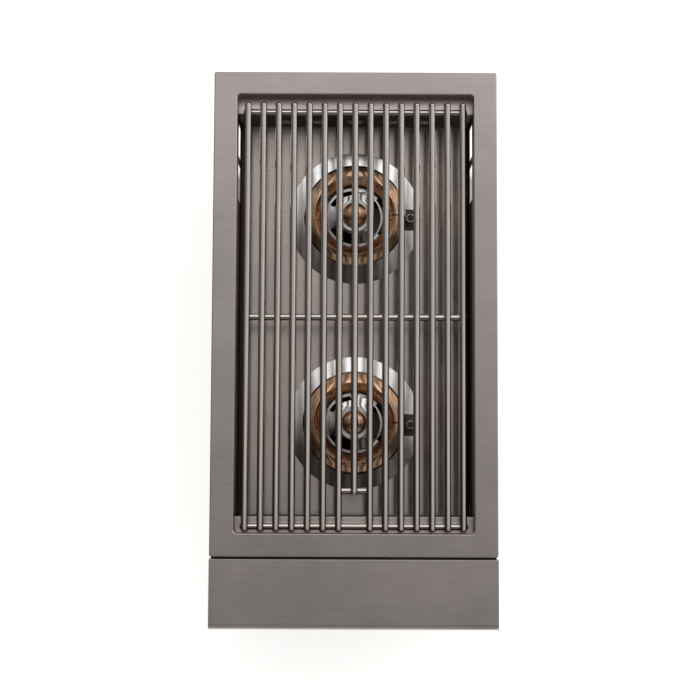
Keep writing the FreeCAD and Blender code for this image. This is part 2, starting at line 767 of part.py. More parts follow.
def control_panel():
    """Folded panel: flat top, rounded nose, return under it and a short rear flange."""
    top, sheet = "body_height", "panel_sheet"
    inner_round = "nose_radius - panel_sheet"
    profile = [
        ("panel_rear", top),
        ("nose_front + nose_radius", top),
        ("nose_front", f"{top} - nose_radius", "nose_radius", "left"),
        ("nose_front", "nose_under"),
        ("fascia_back", "nose_under"),
        ("fascia_back", f"nose_under + {sheet}"),
        (f"nose_front + {sheet}", f"nose_under + {sheet}"),
        (f"nose_front + {sheet}", f"{top} - nose_radius"),
        ("nose_front + nose_radius", f"{top} - {sheet}", inner_round, "right"),
        (f"panel_rear - {sheet}", f"{top} - {sheet}"),
        (f"panel_rear - {sheet}", f"{top} - skirt_depth"),
        ("panel_rear", f"{top} - skirt_depth"),
    ]
    piece("control_panel", padded("panel_sheet_body", "YZ_Plane", profile, "rim_width"))


def control_fascia():
    """Upright fascia with the stem and button holes, folded into the control floor."""
    plate = block(
        "fascia_plate",
        ("-rim_side", "rim_side"),
        ("fascia_front", "fascia_back"),
        ("fascia_foot", "nose_under"),
    )
    floor_front = block(
        "fascia_floor",
        ("-rim_side", "rim_side"),
        ("fascia_front", "panel_rear"),
        ("fascia_foot", "control_floor"),
    )
    floor_rear = block(
        "fascia_floor_rear",
        ("-wall_side_in", "wall_side_in"),
        ("panel_rear", "wall_front_out"),
        ("fascia_foot", "control_floor"),
    )
    through = ("fascia_front - panel_sheet", "fascia_back + panel_sheet")
    holes = [
        round_bar(name, radius, "Y", through, at)
        for name, radius, at in (
            ("stem_hole_left", "fascia_hole", ("-knob_side", "control_level")),
            ("stem_hole_right", "fascia_hole", ("knob_side", "control_level")),
            ("button_hole", "button_radius + button_clearance", ("0", "control_level")),
        )
    ]
    for index, at in enumerate(fascia_screw_places()):
        holes.append(round_bar(f"fascia_screw_hole_{index}", "screw_radius", "Y", through, at))
    joined = fuse("fascia_fused", plate, floor_front, floor_rear)
    piece("control_fascia", cut("fascia_cut", joined, *holes))


def fascia_screw_places():
    """Middle of each of the four fascia screws, as x and z."""
    return [
        (f"{sign}(rim_side - screw_inset)", level)
        for sign in ("-", "")
        for level in ("fascia_foot + screw_inset", "nose_under - screw_inset")
    ]


def end_caps():
    """End caps that close the control box, with a flange behind the fascia and one to the liner."""
    top = f"body_height - panel_sheet"
    inner_round = "nose_radius - panel_sheet"
    rear = "panel_rear - panel_sheet"
    side = padded(
        "end_side",
        "YZ_Plane",
        [
            (rear, top),
            ("nose_front + nose_radius", top),
            ("nose_front + panel_sheet", "body_height - nose_radius", inner_round, "left"),
            ("nose_front + panel_sheet", "nose_under + panel_sheet"),
            ("fascia_back", "nose_under + panel_sheet"),
            ("fascia_back", "control_floor"),
            (rear, "control_floor"),
        ],
        "panel_sheet",
        ("end_in + panel_sheet / 2", "0", "0"),
    )
    back_flange = block(
        "end_back_flange",
        ("rim_side - end_flange", "rim_side"),
        (rear, "panel_rear"),
        ("control_floor", "body_height - skirt_depth"),
    )
    front_flange = block(
        "end_front_flange",
        ("rim_side - 2 * screw_inset", "rim_side"),
        ("fascia_back", "fascia_back + panel_sheet"),
        ("control_floor", "nose_under"),
    )
    through = ("fascia_back - panel_sheet", "fascia_back + 2 * panel_sheet")
    holes = [
        round_bar(f"end_screw_hole_{index}", "screw_radius", "Y", through, at)
        for index, at in enumerate(fascia_screw_places()[2:])
    ]
    joined = fuse("end_fused", side, back_flange, front_flange)
    right = piece("right_end_cap", cut("end_cut", joined, *holes))
    piece("left_end_cap", mirrored("end_mirror", right))


def fascia_screws():
    """Pan-head screws through the fascia into the end caps."""
    screws = []
    for index, (x, z) in enumerate(fascia_screw_places()):
        screws.append(
            turned(
                f"fascia_screw_{index}",
                [
                    ("0", "-screw_length"),
                    ("screw_radius", "-screw_length"),
                    ("screw_radius", "0"),
                    ("screw_head", "0"),
                    ("screw_head - 1", "screw_head_height"),
                    ("0", "screw_head_height"),
                ],
                (x, "fascia_front", z),
                TO_FRONT,
            )
        )
    piece("fascia_screws", group("fascia_screw_group", *screws))


def grate():
    """Rods with rounded ends over three cross rods, with a short lifting bar at the finger notch."""
    half = f"{(ROD_COUNT - 1) / 2}"
    rods = []
    for index in range(ROD_COUNT):
        front = "notch_end" if index == SHORT_ROD else "grate_front"
        rods.append(
            grate_rod(
                f"grate_rod_{index}",
                f"grate_rear - ({front})",
                (f"grate_pitch * ({index} - {half})", front, "rod_level"),
                TO_REAR,
            )
        )
    piece("grate_rods", group("grate_rod_group", *rods))
    crossings = []
    for name, y in (
        ("front", "grate_front + cross_inset"),
        ("middle", "(grate_front + grate_rear) / 2"),
        ("rear", "grate_rear - cross_inset"),
    ):
        crossings.append(
            grate_rod(
                f"cross_rod_{name}",
                "cross_length",
                ("-cross_length / 2", y, "cross_level"),
                TO_RIGHT,
            )
        )
    piece("grate_cross_rods", group("cross_rod_group", *crossings))
    piece(
        "grate_lift_bar",
        grate_rod(
            "lift_bar",
            "lift_bar_length",
            ("-lift_bar_length / 2", "notch_end + lift_bar_setback", "cross_level"),
            TO_RIGHT,
        ),
    )


def grate_rod(name, length, at, turn):
    """One round rod with rounded ends."""
    radius, bend = "grate_rod / 2", "grate_rod_end"
    return turned(
        name,
        [
            ("0", "0"),
            (f"{radius} - {bend}", "0"),
            (radius, bend, bend, "left"),
            (radius, f"{length} - {bend}"),
            (f"{radius} - {bend}", length, bend, "left"),
            ("0", length),
        ],
        at,
        turn,
    )


def drip_ring(name, centre):
    """Shallow sheet cone on the deck, notched for the electrode bracket."""
    slope_start = "drip_radius - drip_lip"
    cone = turned(
        f"{name}_drip_cone",
        [
            ("drip_bore", "drip_rise + drip_sheet"),
            ("drip_bore", "drip_rise"),
            (slope_start, "0"),
            ("drip_radius", "0"),
            ("drip_radius", "drip_sheet"),
            (slope_start, "drip_sheet"),
        ],
        ("0", centre, "deck_top"),
    )
    notch = block(
        f"{name}_drip_notch",
        (
            "drip_bore - drip_lip * 3",
            "electrode_out + bracket_width / 2 + bracket_gap",
        ),
        (
            f"{centre} + electrode_back - bracket_length / 2 - bracket_gap",
            f"{centre} + electrode_back + bracket_length / 2 + bracket_gap",
        ),
        ("deck_top - drip_rise", "deck_top + 3 * drip_rise"),
    )
    piece(f"{name}_drip_ring", cut(f"{name}_drip_cut", cone, notch))


def burner_body(name, centre, side):
    """Cast trough on three arms, with its mixing tube running forward under the deck."""
    trough = turned(
        f"{name}_trough",
        [
            ("trough_inner", "-trough_drop"),
            ("trough_outer", "-trough_drop"),
            ("trough_outer", "trough_top"),
            ("trough_outer - trough_wall", "trough_top"),
            ("trough_outer - trough_wall", "trough_wall - trough_drop"),
            ("trough_inner + trough_wall", "trough_wall - trough_drop"),
            ("trough_inner + trough_wall", "trough_top"),
            ("trough_inner", "trough_top"),
        ],
        ("0", centre, "deck_top"),
    )
    foot = "deck_top - trough_drop"
    post = round_bar(
        f"{name}_post", "post_radius", "Z", (foot, "deck_top + bowl_base"), ("0", centre)
    )
    arm = block(
        f"{name}_arm",
        ("0", "trough_inner + trough_wall / 2"),
        ("-arm_width / 2", "arm_width / 2"),
        ("0", "arm_height"),
    )
    start = HALF_TURN / ARM_COUNT
    arms = patterned(f"{name}_arms", arm, ARM_COUNT, ("0", centre, foot), start, fuse)
    ear = block(
        f"{name}_ear",
        ("trough_outer - 0.8 * trough_wall", "electrode_out + bracket_width / 2"),
        (
            f"{centre} + electrode_back - bracket_length / 2",
            f"{centre} + electrode_back + bracket_length / 2",
        ),
        ("deck_top + bracket_rise - bracket_sheet * 2", "deck_top + bracket_rise"),
    )
    ear_hole = round_bar(
        f"{name}_ear_hole",
        "sleeve_radius",
        "Z",
        ("deck_top - trough_drop", "deck_top + trough_top"),
        ("electrode_out", f"{centre} + electrode_back"),
    )
    riser = round_bar(
        f"{name}_riser",
        "tube_radius - trough_wall / 2",
        "Z",
        ("control_level", "hanger_top + trough_wall / 2"),
        (side, centre),
    )
    tube = round_bar(
        f"{name}_tube",
        "tube_radius",
        "Y",
        ("tube_mouth", f"{centre} + tube_radius"),
        (side, "control_level"),
    )
    tube_bore = round_bar(
        f"{name}_bore",
        "tube_bore",
        "Y",
        ("tube_mouth - liner_sheet", centre),
        (side, "control_level"),
    )
    riser_bore = round_bar(
        f"{name}_riser_bore",
        "riser_bore",
        "Z",
        ("control_level", "hanger_top + trough_wall * 1.5"),
        (side, centre),
    )
    air = block(
        f"{name}_air",
        (f"{side} - 2 * tube_radius", f"{side} + 2 * tube_radius"),
        air_window_span(),
        ("control_level - air_window / 2", "control_level + air_window / 2"),
    )
    casting = fuse(f"{name}_casting", trough, post, arms, ear)
    solid = fuse(f"{name}_body_fused", casting, riser, tube)
    piece(
        f"{name}_burner_body",
        cut(f"{name}_body_cut", solid, ear_hole, tube_bore, riser_bore, air),
    )


def air_window_span():
    """Front and rear of the air windows along Y."""
    middle = "tube_mouth + shutter_setback + shutter_length / 2"
    return (f"{middle} - air_window / 2", f"{middle} + air_window / 2")


def burner_ring(name, centre):
    """Brass ring: a crest with ports inside it, slots under its outer edge and a lighting groove."""
    skirt_inner = "trough_inner + trough_wall + ring_clearance"
    skirt_outer = f"{skirt_inner} + ring_wall / 2"
    shoulder = "trough_outer - trough_wall"
    body = turned(
        f"{name}_ring_body",
        [
            ("ring_bore", "0"),
            (skirt_inner, "0"),
            (skirt_inner, "-ring_spigot"),
            (skirt_outer, "-ring_spigot"),
            (skirt_outer, "ring_edge_rise"),
            ("ring_crest", "ring_rise - 2 * ring_wall"),
            (shoulder, "ring_edge_rise - ring_wall / 3"),
            (shoulder, "0"),
            ("trough_outer", "0"),
            ("ring_radius", "ring_edge_rise - ring_wall / 2"),
            ("ring_radius", "ring_edge_rise"),
            ("ring_crest + ring_wall / 2", "ring_rise", "ring_round", "left"),
            ("ring_crest - ring_wall / 2", "ring_rise - ring_wall / 3", "ring_wall", "left"),
            ("ring_bore", "ring_edge_rise"),
        ],
        ("0", centre, "deck_top + trough_top"),
    )
    port = round_bar(
        f"{name}_port",
        "inner_port_width / 2",
        "Z",
        ("ring_rise - 3 * ring_wall", "ring_rise + ring_wall"),
        ("ring_crest - ring_wall / 2", "0"),
    )
    inner = patterned(
        f"{name}_inner_ports",
        port,
        int(worked_out("inner_ports")),
        ("0", centre, "deck_top + trough_top"),
        HALF_TURN / worked_out("inner_ports"),
    )
    slot = block(
        f"{name}_slot",
        ("trough_outer - 2 * trough_wall", "ring_radius + ring_wall"),
        ("-outer_port_width / 2", "outer_port_width / 2"),
        ("-ring_wall", "outer_port_height"),
    )
    outer = patterned(
        f"{name}_outer_ports",
        slot,
        int(worked_out("outer_ports")),
        ("0", centre, "deck_top + trough_top"),
    )
    groove = block(
        f"{name}_groove",
        ("ring_crest - 1.5 * ring_wall", "ring_radius - ring_wall"),
        (f"{centre} - light_slot / 2", f"{centre} + light_slot / 2"),
        (
            "deck_top + trough_top + ring_rise - ring_wall",
            "deck_top + trough_top + ring_rise + ring_wall",
        ),
    )
    piece(f"{name}_burner_ring", cut(f"{name}_ring_cut", body, inner, outer, groove))


def flame_bowl(name, centre):
    """Polished sheet bowl upside down on the centre post, with three windows and a low rim."""
    flat, inside = "hub_radius", "bowl_radius - bowl_sheet"
    bowl = turned(
        f"{name}_bowl_body",
        [
            ("bowl_hole", "bowl_base"),
            (flat, "bowl_base"),
            (inside, "bowl_base - bowl_fall"),
            ("bowl_radius", "bowl_base - bowl_fall"),
            ("bowl_radius", "bowl_base - bowl_fall + bowl_lip"),
            (inside, "bowl_base - bowl_fall + bowl_lip"),
            (inside, "bowl_base - bowl_fall + bowl_sheet"),
            (flat, "bowl_base + bowl_sheet"),
            ("bowl_hole", "bowl_base + bowl_sheet"),
        ],
        ("0", centre, "deck_top"),
    )
    tools = [
        sector(f"{name}_window_{hand}", "window_inner", outer, angle, middle, centre)
        for hand, outer, angle, middle in (
            ("right", "window_short", "wide_window", "wide_window_middle"),
            ("rear", "window_outer", "narrow_window", "narrow_window_middle"),
            ("front", "window_outer", "narrow_window", "-narrow_window_middle"),
        )
    ]
    rim = ("gap_inner", "bowl_radius + 3 * bowl_sheet")
    gap = sector(f"{name}_rim_gap", *rim, "wide_window", "wide_window_middle", centre)
    piece(f"{name}_flame_bowl", cut(f"{name}_bowl_cut", bowl, *tools, gap))


def sector(name, inner, outer, angle, middle, centre):
    """An upright ring sector between two radii, about a burner's axis."""
    across, along = f"cos(({angle}) / 2)", f"sin(({angle}) / 2)"
    wedge = padded(
        name,
        "XY_Plane",
        [
            (f"({outer}) * {across}", f"-({outer}) * {along}"),
            (f"({outer}) * {across}", f"({outer}) * {along}", outer, "left"),
            (f"({inner}) * {across}", f"({inner}) * {along}"),
            (f"({inner}) * {across}", f"-({inner}) * {along}", inner, "right"),
        ],
        "4 * bowl_base",
        ("0", centre, "deck_top"),
        FreeCAD.Rotation(ABOUT_Z, 1),
    )
    wedge.setExpression("Placement.Rotation.Angle", formula(middle))
    return wedge


def burner_hub(name, centre):
    """Steel cup on the bowl that takes the centre cap's stem."""
    base = "bowl_base + bowl_sheet"
    piece(
        f"{name}_burner_hub",
        turned(
            f"{name}_hub_body",
            [
                ("0", base),
                ("hub_radius - 1", base),
                ("hub_radius", f"{base} + 1"),
                ("hub_radius", "hub_rise - 1"),
                ("hub_radius - 1", "hub_rise"),
                ("hub_bore", "hub_rise"),
                ("hub_bore", f"{base} + hub_floor"),
                ("0", f"{base} + hub_floor"),
            ],
            ("0", centre, "deck_top"),
        ),
    )


def centre_cap(name, centre):
    """Brass dome on a neck, with a stem in the hub."""
    piece(
        f"{name}_centre_cap",
        turned(
            f"{name}_cap_body",
            [
                ("0", "-cap_stem"),
                ("hub_bore - cap_clearance", "-cap_stem"),
                ("hub_bore - cap_clearance", "0"),
                ("cap_neck", "0"),
                ("cap_neck", "cap_neck_height"),
                ("cap_radius", "cap_neck_height"),
                ("cap_radius", "cap_neck_height + 1"),
                ("0", "cap_neck_height + cap_rise", "cap_round", "left"),
            ],
            ("0", centre, "deck_top + hub_rise"),
        ),
    )


def electrode(name, centre):
    """Ceramic electrode in a steel sleeve, on a dark bracket screwed to the burner body's ear."""
    x, y = "electrode_out", f"{centre} + electrode_back"
    base = "deck_top + bracket_rise"
    plate = block(
        f"{name}_bracket_plate",
        ("trough_outer + bracket_gap", "electrode_out + bracket_width / 2"),
        (f"{y} - bracket_length / 2", f"{y} + bracket_length / 2"),
        (base, f"{base} + bracket_sheet"),
    )
    hole = round_bar(
        f"{name}_bracket_hole",
        "sleeve_radius",
        "Z",
        (f"{base} - bracket_sheet", f"{base} + 2 * bracket_sheet"),
        (x, y),
    )
    piece(f"{name}_electrode_bracket", cut(f"{name}_bracket_cut", plate, hole))
    piece(
        f"{name}_electrode",
        turned(
            f"{name}_electrode_body",
            [
                ("0", "-electrode_tail"),
                ("sleeve_radius - sleeve_wall", "-electrode_tail"),
                ("sleeve_radius - sleeve_wall", "-electrode_tail / 2"),
                ("sleeve_radius", "-electrode_tail / 2"),
                ("sleeve_radius", "sleeve_rise"),
                ("sleeve_radius - sleeve_wall", "sleeve_rise"),
                ("sleeve_radius - sleeve_wall", "sleeve_rise - 3 * sleeve_wall"),
                ("electrode_tip", "sleeve_rise - 3 * sleeve_wall"),
                ("electrode_tip", "sleeve_rise + 3 * sleeve_wall"),
                ("0", "sleeve_rise + 4 * sleeve_wall"),
            ],
            (x, y, "deck_top"),
        ),
    )


def burner_hanger(name, centre, side):
    """Strap under the deck that carries a burner body."""
    across = (f"{centre} - hanger_width / 2", f"{centre} + hanger_width / 2")
    parts = [
        block(
            f"{name}_hanger_base", ("-hanger_half", "hanger_half"), across, ("hanger_under", "hanger_top")
        )
    ]
    for hand, sign in (("left", -1), ("right", 1)):
        inner = f"(hanger_half - hanger_sheet) * {sign}"
        outer = f"hanger_half * {sign}"
        foot = f"(hanger_half + hanger_foot) * {sign}"
        leg = sorted_span(inner, outer, sign)
        flange = sorted_span(inner, foot, sign)
        parts.append(block(f"{name}_leg_{hand}", leg, across, ("hanger_under", "deck_under")))
        parts.append(
            block(f"{name}_foot_{hand}", flange, across, ("deck_under - hanger_sheet", "deck_under"))
        )
    hole = round_bar(
        f"{name}_hanger_hole",
        "tube_radius",
        "Z",
        ("hanger_under - hanger_sheet", "hanger_top + hanger_sheet"),
        (side, centre),
    )
    joined = fuse(f"{name}_hanger_fused", *parts)
    piece(f"{name}_burner_hanger", cut(f"{name}_hanger_cut", joined, hole))


def valve(name, side):
    """Brass valve body with a tapered bore, its cover, the plug and its spring."""
    level = "control_level"
    body = block(
        f"{name}_valve_block",
        (f"{side} - valve_width / 2", f"{side} + valve_width / 2"),
        ("valve_front", "valve_rear"),
        (f"{level} - valve_height / 2", f"{level} + valve_height / 2"),
    )
    slope = "(plug_front - plug_rear) / plug_length"
    seat = turned(
        f"{name}_valve_seat",
        [
            ("0", "0"),
            ("plug_front + plug_clearance", "0"),
            ("plug_front + plug_clearance", "spring_length + plug_clearance"),
            ("plug_rear + plug_clearance", "spring_length + plug_length + plug_clearance"),
            ("0", "spring_length + plug_length + plug_clearance"),
        ],
        (side, "valve_front", level),
        TO_REAR,
    )
    outlet = round_bar(
        f"{name}_outlet",
        "plug_hole / 2",
        "Y",
        ("plug_start + plug_length", "valve_rear + panel_sheet"),
        (side, level),
    )
    inlet = round_bar(
        f"{name}_inlet",
        "plug_hole / 2",
        "Z",
        ("manifold_top - panel_sheet", level),
        (side, "plug_start + plug_length * 0.8"),
    )
    piece(f"{name}_valve_body", cut(f"{name}_valve_cut", body, seat, outlet, inlet))
    cover = block(
        f"{name}_cover_plate",
        (f"{side} - valve_width / 2", f"{side} + valve_width / 2"),
        ("valve_front - valve_cover", "valve_front"),
        (f"{level} - valve_height / 2", f"{level} + valve_height / 2"),
    )
    cover_hole = round_bar(
        f"{name}_cover_hole",
        "stem_radius + stem_gap",
        "Y",
        ("valve_front - 2 * valve_cover", "valve_front + valve_cover"),
        (side, level),
    )
    piece(f"{name}_valve_cover", cut(f"{name}_cover_cut", cover, cover_hole))
    spring_inner = "stem_radius + stem_gap"
    piece(
        f"{name}_valve_spring",
        turned(
            f"{name}_spring_body",
            [
                (spring_inner, "0"),
                (f"{spring_inner} + spring_wall", "0"),
                (f"{spring_inner} + spring_wall", "spring_length"),
                (spring_inner, "spring_length"),
            ],
            (side, "valve_front", level),
            TO_REAR,
        ),
    )
    cone = turned(
        f"{name}_plug_cone",
        [
            ("0", "0"),
            ("plug_front", "0"),
            (f"plug_rear + {slope} * plug_clearance", "plug_length - plug_clearance"),
            ("0", "plug_length - plug_clearance"),
        ],
        (side, "plug_start", level),
        TO_REAR,
    )
    socket = round_bar(
        f"{name}_plug_socket",
        "stem_radius + stem_clearance",
        "Y",
        ("plug_start - panel_sheet", "plug_start + plug_socket"),
        (side, level),
    )
    piece(f"{name}_valve_plug", cut(f"{name}_plug_cut", cone, socket))


def knob(name, side):
    """Fluted knob with its stem, in front of a dished bezel."""
    level = "control_level"
    piece(
        f"{name}_knob_bezel",
        turned(
            f"{name}_bezel_body",
            [
                ("bezel_bore", "0"),
                ("bezel_radius", "0"),
                ("bezel_radius", "bezel_depth / 3"),
                ("bezel_radius - bezel_depth / 2", "bezel_depth"),
                ("knob_radius + 1", "bezel_depth"),
                ("knob_radius", "bezel_depth / 2"),
                ("bezel_bore", "bezel_depth / 2"),
            ],
            (side, "fascia_front", level),
            TO_FRONT,
        ),
    )
    head = turned(
        f"{name}_knob_head",
        [
            ("0", "0"),
            ("knob_radius", "0"),
            ("knob_radius", "knob_depth / 5"),
            ("knob_face + 1", "knob_depth / 3"),
            ("knob_face", "knob_depth - 2"),
            ("knob_face - 2", "knob_depth"),
            ("0", "knob_depth"),
        ],
        (side, "knob_back", level),
        TO_FRONT,
    )
    flute = round_bar(
        f"{name}_flute",
        "knob_flute",
        "Z",
        ("knob_depth / 3", "knob_depth + 1"),
        ("knob_face + knob_flute * 0.55", "0"),
    )
    flutes = patterned(
        f"{name}_flutes",
        flute,
        int(worked_out("knob_flutes")),
        ("0", "0", "0"),
    )
    settle(flutes, (side, "knob_back", level), TO_FRONT)
    stem = round_bar(
        f"{name}_stem",
        "stem_radius",
        "Y",
        ("knob_back - knob_depth / 2", "plug_start + stem_reach"),
        (side, level),
    )
    fluted = cut(f"{name}_knob_fluted", head, flutes)
    piece(f"{name}_knob", fuse(f"{name}_knob_fused", fluted, stem))


def spud(name, side):
    """Orifice spud on the valve's outlet, its tip inside the mixing tube."""
    length = "tube_mouth + spud_insertion - valve_rear"
    piece(
        f"{name}_orifice_spud",
        turned(
            f"{name}_spud_body",
            [
                ("spud_bore", "0"),
                ("spud_nut", "0"),
                ("spud_nut", "spud_nut_length"),
                ("spud_radius", "spud_nut_length"),
                ("spud_radius", f"{length} - 2"),
                ("spud_radius - 2", length),
                ("spud_bore", length),
            ],
            (side, "valve_rear", "control_level"),
            TO_REAR,
        ),
    )


def air_shutter(name, side):
    """Sleeve on the mixing tube that opens and closes its air windows."""
    inner = "tube_radius + shutter_clearance"
    start = "tube_mouth + shutter_setback"
    sleeve = turned(
        f"{name}_sleeve",
        [
            (inner, "0"),
            (f"{inner} + shutter_wall", "0"),
            (f"{inner} + shutter_wall", "shutter_length"),
            (inner, "shutter_length"),
        ],
        (side, start, "control_level"),
        TO_REAR,
    )
    air = block(
        f"{name}_shutter_air",
        (f"{side} - 2 * tube_radius", f"{side} + 2 * tube_radius"),
        air_window_span(),
        ("control_level - air_window / 2", "control_level + air_window / 2"),
    )
    piece(f"{name}_air_shutter", cut(f"{name}_shutter_cut", sleeve, air))


def manifold():
    """Square manifold under the valves, on two brackets that stand on the control floor."""
    half = "manifold_length / 2"
    y = ("manifold_y - manifold_side / 2", "manifold_y + manifold_side / 2")
    z = ("manifold_top - manifold_side", "manifold_top")
    shell = block("manifold_shell", (f"-{half}", half), y, z)
    bore = block(
        "manifold_bore",
        (f"-{half} + manifold_wall", f"{half} - manifold_wall"),
        tuple(f"{end} {sign} manifold_wall" for end, sign in zip(y, "+-")),
        tuple(f"{end} {sign} manifold_wall" for end, sign in zip(z, "+-")),
    )
    inlets = [
        round_bar(
            f"manifold_inlet_{hand}",
            "plug_hole / 2",
            "Z",
            ("manifold_top - 2 * manifold_wall", "manifold_top + manifold_wall"),
            (side, "plug_start + plug_length * 0.8"),
        )
        for hand, side in (("left", "-knob_side"), ("right", "knob_side"))
    ]
    piece("manifold", cut("manifold_cut", shell, bore, *inlets))
    middle = "manifold_y"
    brackets = []
    for hand, side in (("left", "-manifold_bracket_side"), ("right", "manifold_bracket_side")):
        across = (f"{side} - manifold_bracket / 2", f"{side} + manifold_bracket / 2")
        front = f"{middle} - manifold_bracket / 2"
        rear = f"{middle} + manifold_bracket / 2"
        foot = ("control_floor", "control_floor + manifold_wall")
        head = ("manifold_top - manifold_side - manifold_wall", "manifold_top - manifold_side")
        brackets.append(
            fuse(
                f"manifold_bracket_{hand}",
                block(f"bracket_foot_{hand}", across, (front, rear), foot),
                block(
                    f"bracket_web_{hand}",
                    across,
                    (front, f"{front} + manifold_wall"),
                    (foot[0], head[1]),
                ),
                block(f"bracket_head_{hand}", across, (front, rear), head),
            )
        )
    piece("manifold_brackets", group("manifold_bracket_pair", *brackets))


def inlet_pipe():
    """Gas pipe from the manifold round to the rear, and the threaded fitting on its end."""
    y, z, side, bend = "manifold_y", "manifold_middle", "pipe_side", "pipe_bend"
    first = round_bar(
        "pipe_first", "pipe_radius", "X", ("manifold_length / 2", f"{side} - {bend}"), (y, z)
    )
    elbow = doc.addObject("Part::Torus", "pipe_elbow")
    elbow.setExpression("Radius1", formula(bend))
    elbow.setExpression("Radius2", formula("pipe_radius"))
    elbow.Angle3 = QUARTER_TURN
    turn = FreeCAD.Rotation(FreeCAD.Vector(0, 0, 1), -QUARTER_TURN)
    settle(elbow, (f"{side} - {bend}", f"{y} + {bend}", z), turn)
    run = round_bar("pipe_run", "pipe_radius", "Y", (f"{y} + {bend}", "pipe_end"), (side, z))
    bore = round_bar(
        "pipe_inlet_bore",
        "pipe_bore",
        "Y",
        ("pipe_end - pipe_bore_depth", "pipe_end + pipe_bore"),
        (side, z),
    )
    piece("gas_inlet_pipe", cut("pipe_cut", fuse("pipe_fused", first, elbow, run), bore))
    nut = doc.addObject("Part::Prism", "fitting_nut")
    nut.Polygon = 6
    nut.setExpression("Circumradius", formula("fitting_width / 2 / cos(30)"))
    nut.setExpression("Height", formula("fitting_length"))
    settle(nut, (side, "wall_rear_out", z), TO_REAR)
    nipple = round_bar(
        "fitting_nipple", "inlet_radius", "Y", ("wall_rear_out", "inlet_end"), (side, z)
    )
    socket = round_bar(
        "fitting_socket", "pipe_radius", "Y", ("wall_rear_out - fitting_length", "pipe_end"), (side, z)
    )
    way = round_bar(
        "fitting_bore", "pipe_bore", "Y", ("pipe_end - 1", "inlet_end + pipe_bore"), (side, z)
    )
    fitting = fuse("fitting_fused", nut, nipple)
    piece("gas_inlet_fitting", cut("fitting_cut", fitting, socket, way))


def igniter():
    """Push button in a bezel on the fascia, and the ignition module behind it."""
    level = "control_level"
    bore = "button_radius + button_clearance"
    piece(
        "igniter_bezel",
        turned(
            "igniter_bezel_body",
            [
                (bore, "0"),
                ("button_bezel", "0"),
                ("button_bezel", "button_bezel_depth / 2"),
                ("button_bezel - 1", "button_bezel_depth"),
                (bore, "button_bezel_depth"),
            ],
            ("0", "fascia_front", level),
            TO_FRONT,
        ),
    )
    piece(
        "igniter_button",
        turned(
            "igniter_button_body",
            [
                ("0", "0"),
                ("button_radius", "0"),
                ("button_radius", "button_length - 1"),
                ("button_radius - 1", "button_length"),
                ("0", "button_length"),
            ],
            (
                "0",
                "fascia_front - button_bezel_depth - button_proud + button_length",
                level,
            ),
            TO_FRONT,
        ),
    )
    case = block(
        "module_case",
        ("-module_width / 2", "module_width / 2"),
        ("fascia_back", "fascia_back + module_depth"),
        ("manifold_top + module_lift", "manifold_top + module_lift + module_height"),
    )
    recess = round_bar(
        "module_recess",
        bore,
        "Y",
        ("fascia_back - panel_sheet", "fascia_back + module_recess"),
        ("0", level),
    )
    piece("ignition_module", cut("module_cut", case, recess))


def burner(name):
    """One whole burner, named front or rear."""
    centre = f"{name}_burner"
    side = "knob_side" if name == "front" else "-knob_side"
    drip_ring(name, centre)
    burner_body(name, centre, side)
    burner_ring(name, centre)
    flame_bowl(name, centre)
    burner_hub(name, centre)
    centre_cap(name, centre)
    electrode(name, centre)
    burner_hanger(name, centre, side)
    air_shutter(name, side)


def check():
    """Stop if any object failed or any sub-part is empty or unsound."""
    for item in doc.Objects:
        if "Invalid" in item.State or "Error" in item.State:
            raise RuntimeError(f"{item.Label}: {item.State}")
    for item in pieces:
        if item.Shape.isNull() or not item.Shape.isValid() or not item.Shape.Solids:
            raise RuntimeError(f"{item.Label} has no sound shape")


def write():
    """Write each sub-part to its own file."""
    os.makedirs("parts", exist_ok=True)
    for item in pieces:
        item.Shape.exportStep(f"parts/{item.Label}.step")
    print(f"{len(pieces)} sub-parts written")


rim_frame()
side_panels()
rear_panel()
front_wall()
bottom_panel()
ledges()
burner_deck()
control_panel()
control_fascia()
end_caps()
fascia_screws()
grate()
for which in ("front", "rear"):
    burner(which)
for hand, offset in (("left", "-knob_side"), ("right", "knob_side")):
    valve(hand, offset)
    knob(hand, offset)
    spud(hand, offset)
manifold()
inlet_pipe()
igniter()
doc.recompute()
check()
write()
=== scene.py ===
"""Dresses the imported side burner: rim, panel, rod grate, brass ring burners and their fittings."""

